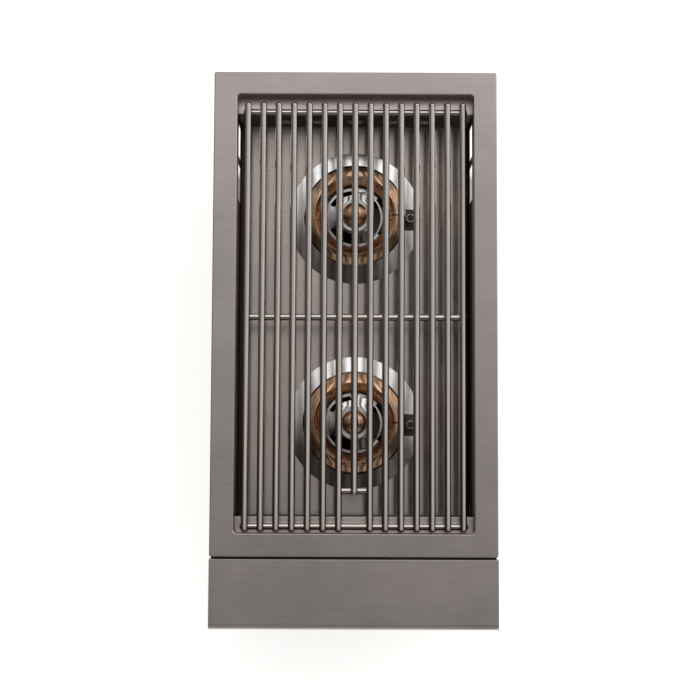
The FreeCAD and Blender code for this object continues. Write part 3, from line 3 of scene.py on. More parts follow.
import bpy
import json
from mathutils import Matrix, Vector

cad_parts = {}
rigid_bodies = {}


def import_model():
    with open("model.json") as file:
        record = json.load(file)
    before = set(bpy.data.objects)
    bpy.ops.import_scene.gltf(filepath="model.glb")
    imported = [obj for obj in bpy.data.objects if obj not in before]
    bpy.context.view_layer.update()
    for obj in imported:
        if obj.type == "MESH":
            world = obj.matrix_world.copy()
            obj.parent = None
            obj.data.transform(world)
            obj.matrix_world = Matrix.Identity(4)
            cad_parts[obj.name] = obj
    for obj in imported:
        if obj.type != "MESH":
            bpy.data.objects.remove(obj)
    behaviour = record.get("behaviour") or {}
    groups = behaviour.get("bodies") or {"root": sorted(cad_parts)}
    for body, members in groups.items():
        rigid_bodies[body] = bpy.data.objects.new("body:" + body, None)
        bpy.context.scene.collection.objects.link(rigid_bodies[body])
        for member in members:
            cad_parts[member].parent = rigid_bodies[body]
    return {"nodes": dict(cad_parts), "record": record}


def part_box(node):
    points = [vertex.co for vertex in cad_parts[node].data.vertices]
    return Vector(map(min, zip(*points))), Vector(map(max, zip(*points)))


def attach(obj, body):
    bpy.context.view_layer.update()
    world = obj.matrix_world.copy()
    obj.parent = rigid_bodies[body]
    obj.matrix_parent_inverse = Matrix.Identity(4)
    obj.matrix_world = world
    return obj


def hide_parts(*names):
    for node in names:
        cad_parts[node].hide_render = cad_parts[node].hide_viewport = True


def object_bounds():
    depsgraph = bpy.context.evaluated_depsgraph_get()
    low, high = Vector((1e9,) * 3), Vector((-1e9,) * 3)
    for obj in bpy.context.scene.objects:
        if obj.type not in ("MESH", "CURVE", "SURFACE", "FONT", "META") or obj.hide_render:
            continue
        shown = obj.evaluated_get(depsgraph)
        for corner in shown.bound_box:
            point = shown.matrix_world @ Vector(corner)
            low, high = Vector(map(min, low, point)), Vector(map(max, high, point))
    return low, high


bl_info = {
    "name": "Side burner",
    "version": (1, 0, 0),
    "blender": (4, 5, 0),
    "location": "View3D > Sidebar > Side burner",
    "description": "Builds the visible pieces and finishes of a built-in side burner",
    "category": "Object",
}

import json
import math

import bmesh
import bpy
from mathutils import Matrix, Vector

for leftover in list(bpy.data.objects):
    bpy.data.objects.remove(leftover)
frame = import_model()
CAD_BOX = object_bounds()

MM = 0.001
BURNERS = ("front", "rear")
HANDS = {"left": -1, "right": 1}
UP = Vector((0, 0, 1))
TO_FRONT = Matrix.Rotation(math.pi / 2, 3, "X")
TO_REAR = Matrix.Rotation(-math.pi / 2, 3, "X")
TO_RIGHT = Matrix.Rotation(math.pi / 2, 3, "Y")
SHEET_TURN = Matrix.Rotation(math.pi / 2, 3, "Z")

# Sizes in millimetres that several pieces share
SHEET = 1.2
RODS = 15
NOTCHED_ROD = 7
ROD_END = 2.6
CAP_SEAT = 22.0
CAP_RADIUS = 14.9


def extent(node):
    """The corners of a CAD node's box, in millimetres."""
    return [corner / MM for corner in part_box(node)]


def middle(node):
    """The middle of a CAD node's box, in millimetres."""
    low, high = extent(node)
    return (low + high) / 2


def tint(red, green, blue):
    """A colour given in screen values from 0 to 255, as Blender's linear colour."""
    linear = []
    for value in (red, green, blue):
        share = value / 255
        linear.append(share / 12.92 if share <= 0.04045 else ((share + 0.055) / 1.055) ** 2.4)
    return tuple(linear)


def opaque(colour):
    """A colour with its alpha, as shader sockets take it."""
    return (*colour[:3], 1.0)


def shaded(colour, share):
    """A colour made darker or lighter."""
    return tuple(min(1.0, part * share) for part in colour[:3])


def tinted(colour, red, green, blue):
    """A colour with a share of each of its parts."""
    return (colour[0] * red, colour[1] * green, colour[2] * blue)


# Settings


def colour_setting(name, description, screen):
    """A colour property."""
    return bpy.props.FloatVectorProperty(
        name=name, description=description, default=tint(*screen), subtype="COLOR", min=0, max=1
    )


def length_setting(name, description, millimetres):
    """A length property, given in millimetres and kept in metres."""
    return bpy.props.FloatProperty(
        name=name, description=description, default=millimetres * MM, unit="LENGTH", min=0
    )


def count_setting(name, description, default, least=1):
    """A number of facets, ports or flutes."""
    return bpy.props.IntProperty(name=name, description=description, default=default, min=least)


class SheetSettings(bpy.types.PropertyGroup):
    """Sizes and colours of the folded sheet pieces."""

    rim_bend: length_setting("Rim bend", "Outside radius of the rim's folded edges", 1.6)
    panel_bend: length_setting("Panel bend", "Outside radius of the panel's small folds", 1.0)
    nose_bend: length_setting("Nose bend", "Outside radius of the panel's front edge", 6.5)
    corner: length_setting("Opening corner", "Radius of the opening's corners", 4.0)
    soft_edge: length_setting("Soft edge", "Rounding of cut sheet edges", 0.3)
    rim_colour: colour_setting("Rim", "Brushed steel of the rim", (184, 174, 171))
    panel_colour: colour_setting("Panel", "Brushed steel of the panel", (186, 176, 173))
    liner_colour: colour_setting("Liner", "Steel of the liner", (176, 170, 166))
    # painted shade colour for the liner's inner faces and the ledges' upright faces
    soot_colour: colour_setting("Heated liner", "Inner faces of the liner", (44, 41, 39))
    deck_colour: colour_setting("Deck", "Rolled steel of the deck", (186, 174, 167))


class GrateSettings(bpy.types.PropertyGroup):
    """Sizes and colour of the rod grate."""

    sides: count_setting("Sides", "Facets round a rod", 32, 8)
    weld: length_setting("Weld", "Width of a weld bead", 4.4)
    cross_shift: length_setting("Cross rods forward", "How far the cross rods sit forward", 2.0)
    colour: colour_setting("Rods", "Polished steel of the rods", (195, 188, 182))


class BurnerSettings(bpy.types.PropertyGroup):
    """Sizes and colours of the burners."""

    sides: count_setting("Sides", "Facets round a turned piece", 144, 24)
    inner_ports: count_setting("Inner ports", "Ports on the inside of the ring", 24)
    outer_ports: count_setting("Outer ports", "Slots under the ring's edge", 40)
    brass_colour: colour_setting("Brass", "Warm brass of the rings and caps", (217, 186, 159))
    bowl_colour: colour_setting("Bowl", "Mirror steel of the bowls", (210, 208, 208))
    drip_colour: colour_setting("Drip ring", "Bright steel of the drip rings", (238, 237, 238))
    # partly heat tint, partly painted shade on the front side of the drip rings and bowls
    heat_colour: colour_setting("Heat tint", "Tint of the steel nearest the front", (164, 150, 152))
    hub_colour: colour_setting("Hub", "Turned steel of the hubs", (208, 204, 200))
    bracket_colour: colour_setting("Bracket", "Dark steel of the brackets", (98, 92, 88))


class ControlSettings(bpy.types.PropertyGroup):
    """Sizes and colours of the knobs and the igniter."""

    flutes: count_setting("Flutes", "Grip flutes round a knob", 12, 3)
    knob_colour: colour_setting("Knob", "Moulded plastic of the knobs", (38, 37, 37))
    chrome_colour: colour_setting("Chrome", "Plating of the bezels", (222, 222, 222))


class StageSettings(bpy.types.PropertyGroup):
    """Floor, light and camera."""

    floor_colour: colour_setting("Floor", "Pale studio floor", (244, 243, 241))
    floor_width: length_setting("Floor width", "Side of the square floor", 12000)
    sky_level: bpy.props.FloatProperty(
        name="Room", description="Brightness of the room round the burner", default=1.0, min=0
    )
    lens: bpy.props.FloatProperty(
        name="Lens", description="Focal length of the camera", default=73.34, unit="CAMERA"
    )


def settings(group):
    """One group of the scene's settings."""
    return getattr(bpy.context.scene, f"side_burner_{group}")


# Meshes


def rounded(bm, geometry, width, steps, kind="VERTICES"):
    """Round corners of a wire, or edges of a solid, by a width in millimetres."""
    bmesh.ops.bevel(
        bm,
        geom=geometry,
        offset=width * MM,
        offset_type="OFFSET",
        segments=steps,
        profile=0.5,
        affect=kind,
        clamp_overlap=kind == "EDGES",
        material=-1,
    )
    return bm


def trace(points, closed=True, steps=5):
    """Wire through (across, up) or (across, up, rounding) points in millimetres, in XZ."""
    bm = bmesh.new()
    verts = [bm.verts.new((p[0] * MM, 0, p[1] * MM)) for p in points]
    for pair in zip(verts, verts[1:]):
        bm.edges.new(pair)
    if closed:
        bm.edges.new((verts[-1], verts[0]))
    for vert, point in zip(verts, points):
        if len(point) == 3:
            rounded(bm, [vert], point[2], steps)
    return bm


def tidied(bm):
    """Merge doubles, drop empty faces and turn the faces outwards."""
    bmesh.ops.remove_doubles(bm, verts=bm.verts, dist=1e-7)
    bmesh.ops.dissolve_degenerate(bm, dist=1e-7, edges=bm.edges)
    bmesh.ops.recalc_face_normals(bm, faces=bm.faces)
    return bm


def spun(bm, geometry, turn, steps, closed):
    """Geometry spun round the Z axis."""
    bmesh.ops.spin(
        bm,
        geom=geometry,
        cent=(0, 0, 0),
        axis=UP,
        angle=turn,
        steps=steps,
        use_merge=closed,
    )
    return bm


def lathe(points, sides, steps=5):
    """A closed outline of (radius, height) points spun right round the Z axis."""
    bm = trace(points, True, steps)
    return tidied(spun(bm, bm.verts[:] + bm.edges[:], math.tau, sides, True))


def wedge(inner, outer, low, high, centre, width):
    """A ring sector between two radii and two heights, centred on an angle in degrees."""
    bm = bmesh.new()
    corners = ((inner, low), (outer, low), (outer, high), (inner, high))
    face = bm.faces.new([bm.verts.new((r * MM, 0, h * MM)) for r, h in corners])
    spun(bm, [face, *face.edges, *face.verts], math.radians(width), 16, False)
    moved(bm, (0, 0, 0), Matrix.Rotation(math.radians(centre - width / 2), 3, "Z"))
    return tidied(bm)


def box(low, high, rounding=0, steps=3):
    """A box between two corners in millimetres, with rounded upright edges."""
    bm = bmesh.new()
    bmesh.ops.create_cube(bm, size=1)
    low, high = Vector(low) * MM, Vector(high) * MM
    bmesh.ops.scale(bm, vec=high - low, verts=bm.verts)
    bmesh.ops.translate(bm, vec=(low + high) / 2, verts=bm.verts)
    if rounding:
        upright = [e for e in bm.edges if abs((e.verts[0].co - e.verts[1].co).normalized().z) > 0.9]
        rounded(bm, upright, rounding, steps, "EDGES")
    return bm


def cylinder(radius, low, high, sides, out=0.0, angle=0.0):
    """An upright cylinder at a distance from the axis, in millimetres."""
    bm = bmesh.new()
    bmesh.ops.create_cone(
        bm,
        cap_ends=True,
        segments=sides,
        radius1=radius * MM,
        radius2=radius * MM,
        depth=(high - low) * MM,
    )
    return moved(bm, (out * math.cos(angle), out * math.sin(angle), (low + high) / 2))


def softened(bm, degrees, width):
    """Round the edges whose two faces turn by more than an angle, by a width in millimetres."""
    limit = math.radians(degrees)
    sharp = [e for e in bm.edges if len(e.link_faces) == 2 and e.calc_face_angle(0) > limit]
    return rounded(bm, sharp, width, 2, "EDGES")


def moved(bm, place, turn=None):
    """The mesh turned, then moved to a place in millimetres."""
    matrix = Matrix.Translation(Vector(place) * MM)
    if turn is not None:
        matrix = matrix @ turn.to_4x4()
    bmesh.ops.transform(bm, matrix=matrix, verts=bm.verts)
    return bm


def gathered(parts):
    """Several meshes as one."""
    whole = bmesh.new()
    for part in parts:
        mesh = bpy.data.meshes.new("part")
        part.to_mesh(mesh)
        part.free()
        whole.from_mesh(mesh)
        bpy.data.meshes.remove(mesh)
    return whole


def shown(bm, name):
    """A scene object that holds a mesh, which is freed."""
    mesh = bpy.data.meshes.new(name)
    bm.to_mesh(mesh)
    bm.free()
    item = bpy.data.objects.new(name, mesh)
    bpy.context.scene.collection.objects.link(item)
    return item


def with_slots(bm, name):
    """A scene object that holds a mesh and has two empty material slots."""
    item = shown(bm, name)
    for slot in range(2):
        item.data.materials.append(None)
    return item


def after_modifier(bm, kind, **values):
    """The mesh after one modifier."""
    item = with_slots(bm, "work")
    modifier = item.modifiers.new(kind, kind)
    for key, value in values.items():
        setattr(modifier, key, value)
    bpy.context.view_layer.update()
    result = bmesh.new()
    result.from_object(item, bpy.context.evaluated_depsgraph_get())
    bpy.data.objects.remove(item)
    return result


def on_slot(bm, slot):
    """The mesh with all its faces on one material slot."""
    for face in bm.faces:
        face.material_index = slot
    return bm


def cut(bm, *tools, inside=0):
    """The mesh less its tools, which don't touch each other; the cut faces take a slot."""
    tool = with_slots(on_slot(gathered(tools), inside), "tool")
    result = after_modifier(
        bm, "BOOLEAN", operation="DIFFERENCE", object=tool, solver="EXACT", use_self=False
    )
    bpy.data.objects.remove(tool)
    return result


def thickened(bm, thickness):
    """A sheet given its thickness on the inside."""
    return after_modifier(
        bm, "SOLIDIFY", thickness=thickness * MM, offset=-1, use_even_offset=True
    )


def facing(bm, seen):
    """Turn a sheet over if most of it faces away from a direction."""
    bmesh.ops.recalc_face_normals(bm, faces=bm.faces)
    seen = Vector(seen)
    if sum(f.normal.dot(seen) * f.calc_area() for f in bm.faces) < 0:
        bmesh.ops.reverse_faces(bm, faces=bm.faces)
    return bm


def pulled(bm, grown, along):
    """Move what an extrusion made along X, in millimetres."""
    new = [v for v in grown["geom"] if isinstance(v, bmesh.types.BMVert)]
    bmesh.ops.translate(bm, vec=(along * MM, 0, 0), verts=new)
    return bm


def folded(points, left, right, seen, steps=5):
    """A sheet folded along (y, z) or (y, z, radius) points, between two x, in millimetres."""
    bm = moved(trace(points, False, steps), (left, 0, 0), SHEET_TURN)
    pulled(bm, bmesh.ops.extrude_edge_only(bm, edges=bm.edges[:]), right - left)
    return thickened(facing(bm, seen), SHEET)


def plated(outline, across, thickness, edge):
    """A plate with an outline of (y, z) points, its face at one x, in millimetres."""
    bm = trace(outline, True, 6)
    bmesh.ops.contextual_create(bm, geom=bm.edges[:])
    moved(bm, (across, 0, 0), SHEET_TURN)
    pulled(bm, bmesh.ops.extrude_face_region(bm, geom=bm.faces[:]), thickness)
    bmesh.ops.recalc_face_normals(bm, faces=bm.faces)
    return softened(bm, 60, edge)


# Finishes


class Shader:
    """Nodes of one material or world, joined as they are added."""

    def __init__(self, holder, output="OutputMaterial", coords="Object"):
        self.holder = holder
        holder.use_nodes = True
        self.tree = holder.node_tree
        self.tree.nodes.clear()
        self.surface = self.add(output).inputs["Surface"]
        self.coords = self.add("TexCoord").outputs[coords]

    def join(self, socket, value):
        """Put a number, colour or another node's output on a socket."""
        if isinstance(value, bpy.types.NodeSocket):
            self.tree.links.new(value, socket)
        else:
            socket.default_value = value

    def add(self, kind, inputs=None, **values):
        """A node with its settings and inputs."""
        node = self.tree.nodes.new("ShaderNode" + kind)
        for key, value in values.items():
            setattr(node, key, value)
        for key, value in (inputs or {}).items():
            self.join(node.inputs[key], value)
        return node

    def axes(self):
        """The three coordinates."""
        return tuple(self.add("SeparateXYZ", {"Vector": self.coords}).outputs)

    def stretched(self, scale, place=(0, 0, 0)):
        """Coordinates moved and stretched."""
        inputs = {"Vector": self.coords, "Scale": scale, "Location": place}
        return self.add("Mapping", inputs).outputs["Vector"]

    def noise(self, scale, detail=3.0, roughness=0.55, vector=None):
        """Noise from 0 to 1."""
        vector = self.coords if vector is None else vector
        inputs = {"Vector": vector, "Scale": scale, "Detail": detail, "Roughness": roughness}
        return self.add("TexNoise", inputs).outputs["Fac"]

    def lines(self, grain):
        """Fine lines, long where the grain is small."""
        return self.noise(1.0, 5.0, 0.65, self.stretched(grain))

    def spread(self, value, low, high, start=0.0, end=1.0):
        """A value from low to high as another goes from start to end."""
        inputs = {"Value": value, "From Min": start, "From Max": end, "To Min": low, "To Max": high}
        return self.add("MapRange", inputs).outputs["Result"]

    def calc(self, operation, first, second=0.0):
        """One step of arithmetic on two numbers."""
        return self.add("Math", {0: first, 1: second}, operation=operation).outputs[0]

    def times(self, first, second):
        """The product of two numbers."""
        return self.calc("MULTIPLY", first, second)

    def plus(self, first, second):
        """The sum of two numbers."""
        return self.calc("ADD", first, second)

    def blend(self, share, first, second):
        """A colour between two."""
        node = self.add("Mix", data_type="RGBA")
        colours = [s for s in node.inputs if s.type == "RGBA"]
        self.join(node.inputs["Factor"], share)
        for socket, value in zip(colours, (first, second)):
            self.join(socket, opaque(value) if isinstance(value, tuple) else value)
        return next(s for s in node.outputs if s.type == "RGBA")

    def clouded(self, clouds, colour, dark, light):
        """A colour between a darker and a lighter shade of itself."""
        return self.blend(clouds, shaded(colour, dark), shaded(colour, light))

    def specks(self, scale, start, end, share):
        """Round specks in a share of the cells of a fine net."""
        cells = self.add("TexVoronoi", {"Vector": self.coords, "Scale": scale})
        spot = self.spread(cells.outputs["Distance"], 1, 0, start, end)
        rare = self.add("SeparateColor", {"Color": cells.outputs["Color"]}).outputs["Red"]
        return self.times(spot, self.calc("GREATER_THAN", rare, 1 - share))

    def levels(self, value, stops):
        """A smooth level for a value from -1 to 1, through (place, level) stops, halved."""
        node = self.add("ValToRGB", {"Fac": self.spread(value, 0, 1, -1, 1)})
        node.color_ramp.interpolation = "EASE"
        elements = node.color_ramp.elements
        while len(elements) < len(stops):
            elements.new(0.5)
        for element, (place, level) in zip(elements, stops):
            element.position = (place + 1) / 2
            element.color = (level / 2, level / 2, level / 2, 1)
        return node.outputs["Color"]

    def bump(self, height, strength, distance):
        """A normal from a height."""
        inputs = {"Height": height, "Strength": strength, "Distance": distance}
        return self.add("Bump", inputs).outputs["Normal"]

    def finish(self, **sockets):
        """The surface shader, its sockets named with underscores."""
        node = self.add("BsdfPrincipled")
        for key, value in sockets.items():
            self.join(node.inputs[key.replace("_", " ")], value)
        self.join(self.surface, node.outputs["BSDF"])
        return self.holder


def material(name):
    """The shader of a new material."""
    return Shader(bpy.data.materials.new(name))


def brushed_steel(name, colour, grain, rough, specks=0.0, painted_light=None):
    """Satin steel with fine lines along one axis, faint clouds and, on request, specks and painted
    shade and highlights.
    """
    shader = material(name)
    lines = shader.lines(grain)
    clouds = shader.noise(9.0, 4.0)
    smudges = shader.noise(38.0, 5.0, 0.62)
    tone = shader.plus(shader.times(lines, 0.45), shader.times(clouds, 0.55))
    skin = shader.clouded(shader.spread(tone, 0, 1, 0.35, 0.65), colour, 0.86, 1.12)
    polish = shader.plus(shader.times(lines, 0.5), shader.times(smudges, 0.5))
    if specks:
        skin = shader.blend(shader.specks(210.0, 0.08, 0.16, specks), skin, shaded(colour, 0.6))
    if painted_light is not None:
        dark, bright = painted_light(shader)
        # painted highlight: a lighter copy of the colour; painted shade: a dark brown copy
        skin = shader.blend(bright, skin, shaded(colour, 1.5))
        skin = shader.blend(dark, skin, tinted(colour, 0.52, 0.43, 0.38))
    return shader.finish(
        Base_Color=skin,
        Metallic=1.0,
        Roughness=shader.spread(polish, *rough, 0.3, 0.7),
        Normal=shader.bump(lines, 0.12, 0.00006),
    )


def rim_painted_shade(shader):
    """Painted shade on the rim: its inner return, below the fold, made dark where shade falls."""
    low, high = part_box("rim_frame")
    fold_depth, rail_side, rail_end = 0.0022, 0.0265, 0.0258
    x, y, z = shader.axes()
    dark = shader.calc("LESS_THAN", z, high.z - fold_depth)
    for value, operation, place in (
        (shader.calc("ABSOLUTE", x), "LESS_THAN", high.x - rail_side),
        (y, "GREATER_THAN", low.y + rail_end),
        (y, "LESS_THAN", high.y - rail_end),
    ):
        dark = shader.times(dark, shader.calc(operation, value, place))
    # painted shade: the inner return's mask, at 85 percent
    return shader.times(dark, 0.85), 0.0


def long_rod_shade_and_highlight(shader):
    """Painted shade on the long rods' flanks and front ends toward the front, and a painted
    highlight along their middles.
    """
    low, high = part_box("grate_rods")
    pitch = (high.x - low.x - (high.z - low.z)) / (RODS - 1)
    x, y = shader.axes()[:2]
    turn = shader.calc("FRACT", shader.plus(shader.calc("DIVIDE", x, pitch), 0.48))
    aside = shader.calc("ABSOLUTE", shader.calc("SUBTRACT", turn, 0.5))
    flank = shader.spread(aside, 0.0, 0.9, 0.0007 / pitch, 0.0022 / pitch)
    forward = shader.spread(y, 1.0, 0.0, -0.12, 0.06)
    tip = shader.spread(y, 1.0, 0.0, low.y + 0.001, low.y + 0.0045)
    # painted highlight down the middle of each rod toward the front; painted shade on its flanks and
    # front end
    bright = shader.times(shader.calc("SUBTRACT", 1.0, flank), forward)
    return shader.calc("MAXIMUM", shader.times(flank, forward), tip), bright


def cross_rod_shade_and_highlight(shader):
    """Painted shade on the front of each cross rod and the lifting bar, and a painted highlight
    along each top.
    """
    y = shader.axes()[1]
    dark = bright = 0.0
    for place in (*crossings(), middle("grate_lift_bar").y):
        ahead = shader.calc("SUBTRACT", y, place * MM)
        near = shader.calc("LESS_THAN", shader.calc("ABSOLUTE", ahead), 0.005)
        # painted shade on each rod's front; painted highlight along its top
        front = shader.times(near, shader.spread(ahead, 0.95, 0.0, -0.0014, -0.0004))
        top = shader.times(near, shader.spread(ahead, 0.0, 0.8, -0.0006, 0.0004))
        dark = shader.calc("MAXIMUM", dark, front)
        bright = shader.calc("MAXIMUM", bright, top)
    return dark, bright


def turned_metal(name, colour, centre, rough, light, heated_and_shaded):
    """Metal brushed in circles about an upright axis, so that what it reflects runs out in rays."""
    shader = material(name)
    flat = shader.stretched((1, 1, 0), (-centre.x, -centre.y, 0))
    radius = shader.add("VectorMath", {0: flat}, operation="LENGTH").outputs["Value"]
    ray = shader.add("VectorMath", {0: flat}, operation="NORMALIZE").outputs["Vector"]
    ringed = {"W": radius, "Scale": 1800.0, "Detail": 3.0}
    rings = shader.add("TexNoise", ringed, noise_dimensions="1D").outputs["Fac"]
    clouds = shader.noise(45.0, 4.0)
    skin = shader.blend(shader.spread(clouds, 0, 1, 0.35, 0.7), shaded(colour, 0.95), light)
    if heated_and_shaded is not None:
        # heat tint and painted shade toward the front left of the piece
        side = shader.add("VectorMath", {0: ray, 1: (-0.5, -0.87, 0)}, operation="DOT_PRODUCT")
        skin = shader.blend(shader.spread(side.outputs["Value"], 0, 1, 0.35, 0.8), skin, heated_and_shaded)
    return shader.finish(
        Base_Color=skin,
        Metallic=1.0,
        Roughness=shader.spread(clouds, *rough, 0.3, 0.7),
        Anisotropic=0.4,
        Tangent=ray,
        Normal=shader.bump(rings, 0.15, 0.00004),
    )


def heated_brass(colour):
    """The tint that a brass colour takes from heat."""
    return tinted(colour, 0.92, 0.73, 0.58)


def warm_brass(name, colour, rough):
    """Brass with heat tints and faint tool marks."""
    shader = material(name)
    clouds = shader.noise(30.0, 5.0)
    fine = shader.noise(420.0, 3.0)
    return shader.finish(
        Base_Color=shader.blend(
            shader.spread(clouds, 0, 1, 0.38, 0.75), tuple(colour[:3]), heated_brass(colour)
        ),
        Metallic=1.0,
        Roughness=shader.spread(fine, *rough, 0.3, 0.7),
        Normal=shader.bump(fine, 0.02, 0.00005),
    )


def plain_metal(name, colour, rough, grain=160.0, bump=0.05, metallic=1.0):
    """Plated, cast or painted metal with a fine uneven skin."""
    shader = material(name)
    fine = shader.noise(grain, 5.0, 0.6)
    clouds = shader.noise(16.0, 3.0)
    return shader.finish(
        Base_Color=shader.clouded(shader.spread(clouds, 0, 1, 0.35, 0.65), colour, 0.88, 1.06),
        Metallic=metallic,
        Roughness=shader.spread(fine, *rough, 0.3, 0.7),
        Normal=shader.bump(fine, bump, 0.0005),
    )


def moulded(name, colour, rough=(0.4, 0.55), grain=900.0):
    """Moulded plastic or ceramic with a fine grained skin."""
    shader = material(name)
    fine = shader.noise(grain, 3.0)
    clouds = shader.noise(40.0, 3.0)
    return shader.finish(
        Base_Color=shader.clouded(clouds, colour, 0.85, 1.15),
        Metallic=0.0,
        Roughness=shader.spread(fine, *rough, 0.3, 0.7),
        Normal=shader.bump(fine, 0.15, 0.0002),
    )


def painted_shade_tone(shader, clouds):
    """Painted shade: the dark colour of the liner's inner faces and the ledges' upright faces."""
    return shader.clouded(clouds, settings("sheet").soot_colour, 0.7, 1.3)


def liner_steel(name, colour):
    """Steel of the liner, with painted shade on the faces that look into it."""
    shader = material(name)
    x, y = shader.axes()[:2]
    skin = 0.0005
    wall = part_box("right_side_panel")[1].x - skin
    # painted shade mask: the liner's faces inside its walls
    inside = shader.calc("LESS_THAN", shader.calc("ABSOLUTE", x), wall)
    for place, operation in (
        (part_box("rear_panel")[0].y + skin, "LESS_THAN"),
        (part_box("front_wall")[1].y - skin, "GREATER_THAN"),
    ):
        inside = shader.times(inside, shader.calc(operation, y, place))
    clouds = shader.noise(30.0, 5.0)
    lines = shader.lines((500, 500, 40))
    bright = shader.clouded(clouds, colour, 0.9, 1.1)
    return shader.finish(
        Base_Color=shader.blend(inside, bright, painted_shade_tone(shader, clouds)),
        Metallic=shader.spread(inside, 1.0, 0.1),
        Specular_IOR_Level=0.1,
        Roughness=shader.plus(shader.spread(lines, 0.26, 0.38), shader.spread(inside, 0, 0.2)),
        Normal=shader.bump(lines, 0.12, 0.00006),
    )


def ledge_steel(name, colour):
    """Satin steel of the ledges, painted lighter on their flat faces, with painted shade on their
    upright faces.
    """
    shader = material(name)
    z = shader.axes()[2]
    low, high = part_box("rear_ledge")
    top = shader.calc("GREATER_THAN", z, high.z - 0.0012)
    top = shader.calc("MAXIMUM", top, shader.calc("LESS_THAN", z, low.z + 0.001))
    clouds = shader.noise(30.0, 5.0)
    lines = shader.lines((30, 900, 900))
    # painted highlight: a lighter copy of the rim colour on the flat faces
    bright = shader.clouded(clouds, colour, 1.24, 1.42)
    return shader.finish(
        Base_Color=shader.blend(top, painted_shade_tone(shader, clouds), bright),
        Metallic=shader.spread(top, 0.3, 1.0),
        Roughness=shader.plus(shader.spread(lines, 0.26, 0.38), shader.spread(top, 0.2, 0)),
        Normal=shader.bump(lines, 0.12, 0.00006),
    )


# How the deck is dished, and how far from its rear edge it starts to lift, in metres
DECK_SAG, DECK_TILT, DECK_LIFT, LIFT_START = 0.1465, 0.01663, 1.0, 0.045


def deck_steel(name, colour):
    """Polished, slightly dished deck sheet with painted shade along its sides; its grain blurs along
    Y.
    """
    shader = material(name)
    x, y = shader.axes()[:2]
    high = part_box("burner_deck")[1]
    sag = shader.times(shader.times(x, x), DECK_SAG)
    dish = shader.calc("SUBTRACT", sag, shader.times(x, DECK_TILT))
    lift = shader.calc("MAXIMUM", shader.calc("SUBTRACT", y, high.y - LIFT_START), 0.0)
    dish = shader.plus(dish, shader.times(shader.times(lift, lift), DECK_LIFT))
    clouds = shader.noise(14.0, 4.0)
    smudges = shader.noise(60.0, 5.0, 0.62, shader.stretched((1, 0.35, 1)))
    skin = shader.clouded(shader.spread(clouds, 0, 1, 0.35, 0.65), colour, 0.93, 1.05)
    skin = shader.blend(shader.specks(230.0, 0.06, 0.2, 0.15), skin, shaded(colour, 0.3))
    across = shader.calc("ABSOLUTE", x)
    # painted shade: the deck nearly black within a few millimetres of its sides
    side_shade = shader.spread(across, 0.0, 1.0, high.x - 0.0045, high.x - 0.0035)
    return shader.finish(
        Base_Color=shader.blend(side_shade, skin, shaded(colour, 0.05)),
        Metallic=1.0,
        Roughness=shader.spread(smudges, 0.14, 0.2, 0.3, 0.7),
        Anisotropic=0.9,
        Tangent=shader.add("CombineXYZ", {"Y": 1.0}).outputs["Vector"],
        Normal=shader.bump(dish, 1.0, 1.0),
    )


ROLLED_ACROSS = (30, 900, 900)
DRAWN = (260, 500, 260)
LOOKS = {
    "rim_steel": (brushed_steel, "sheet.rim_colour", ROLLED_ACROSS, (0.29, 0.4), 0.05, rim_painted_shade),
    "panel_steel": (brushed_steel, "sheet.panel_colour", ROLLED_ACROSS, (0.34, 0.46), 0.02),
    "liner_steel": (liner_steel, "sheet.liner_colour"),
    "ledge_steel": (ledge_steel, "sheet.rim_colour"),
    "deck_steel": (deck_steel, "sheet.deck_colour"),
    "grate_steel": (brushed_steel, "grate.colour", DRAWN, (0.1, 0.15), 0, cross_rod_shade_and_highlight),
    "long_rod_steel": (brushed_steel, "grate.colour", DRAWN, (0.1, 0.15), 0, long_rod_shade_and_highlight),
    "bright_plating": (plain_metal, "controls.chrome_colour", (0.06, 0.14)),
    "bracket_steel": (plain_metal, "burner.bracket_colour", (0.4, 0.55), 300.0, 0.12),
    # painted shade inside the brass rings' ports, slots and groove
    "port_shade": (plain_metal, (52, 38, 26), (0.6, 0.75), 300.0, 0.05, 0.3),
    # painted highlight: near-white paint on the rear ledge's slot lips and cut faces
    "slot_edge_highlight": (plain_metal, (236, 231, 226), (0.3, 0.4), 160.0, 0.05, 0.1),
    "burner_casting": (plain_metal, (96, 92, 89), (0.55, 0.7), 240.0, 0.35),
    "hanger_steel": (plain_metal, (104, 100, 96), (0.45, 0.6)),
    "shutter_steel": (plain_metal, (170, 168, 165), (0.2, 0.32)),
    "cover_steel": (plain_metal, (176, 175, 168), (0.25, 0.4)),
    "spring_steel": (plain_metal, (180, 180, 180), (0.12, 0.2)),
    "pipe_steel": (plain_metal, (92, 92, 94), (0.35, 0.5), 260.0, 0.1, 0.6),
    "valve_brass": (warm_brass, (214, 180, 120), (0.22, 0.34)),
    "electrode_ceramic": (moulded, (96, 92, 88), (0.2, 0.3), 500.0),
    "button_plastic": (moulded, (34, 33, 33), (0.18, 0.28)),
    "module_plastic": (moulded, (44, 44, 46), (0.45, 0.6)),
    "knob_plastic": (moulded, "controls.knob_colour"),
    "pointer_paint": (moulded, (226, 222, 216), (0.35, 0.5)),
}
SLOT_LOOKS = {
    "bezel_chrome": "bright_plating",
    "screw_steel": "bright_plating",
    "hub_steel": "bright_plating",
    "bracket_dark": "bracket_steel",
}
MADE = {}


def finish(name):
    """A finish made once from its row of LOOKS, and shared; liner steel for an unknown slot."""
    name = SLOT_LOOKS.get(name, name)
    if name not in LOOKS:
        name = "liner_steel"
    if name not in MADE:
        recipe, colour, *values = LOOKS[name]
        if isinstance(colour, str):
            group, key = colour.split(".")
            colour = getattr(settings(group), key)
        else:
            colour = tint(*colour)
        MADE[name] = recipe(name, colour, *values)
    return MADE[name]


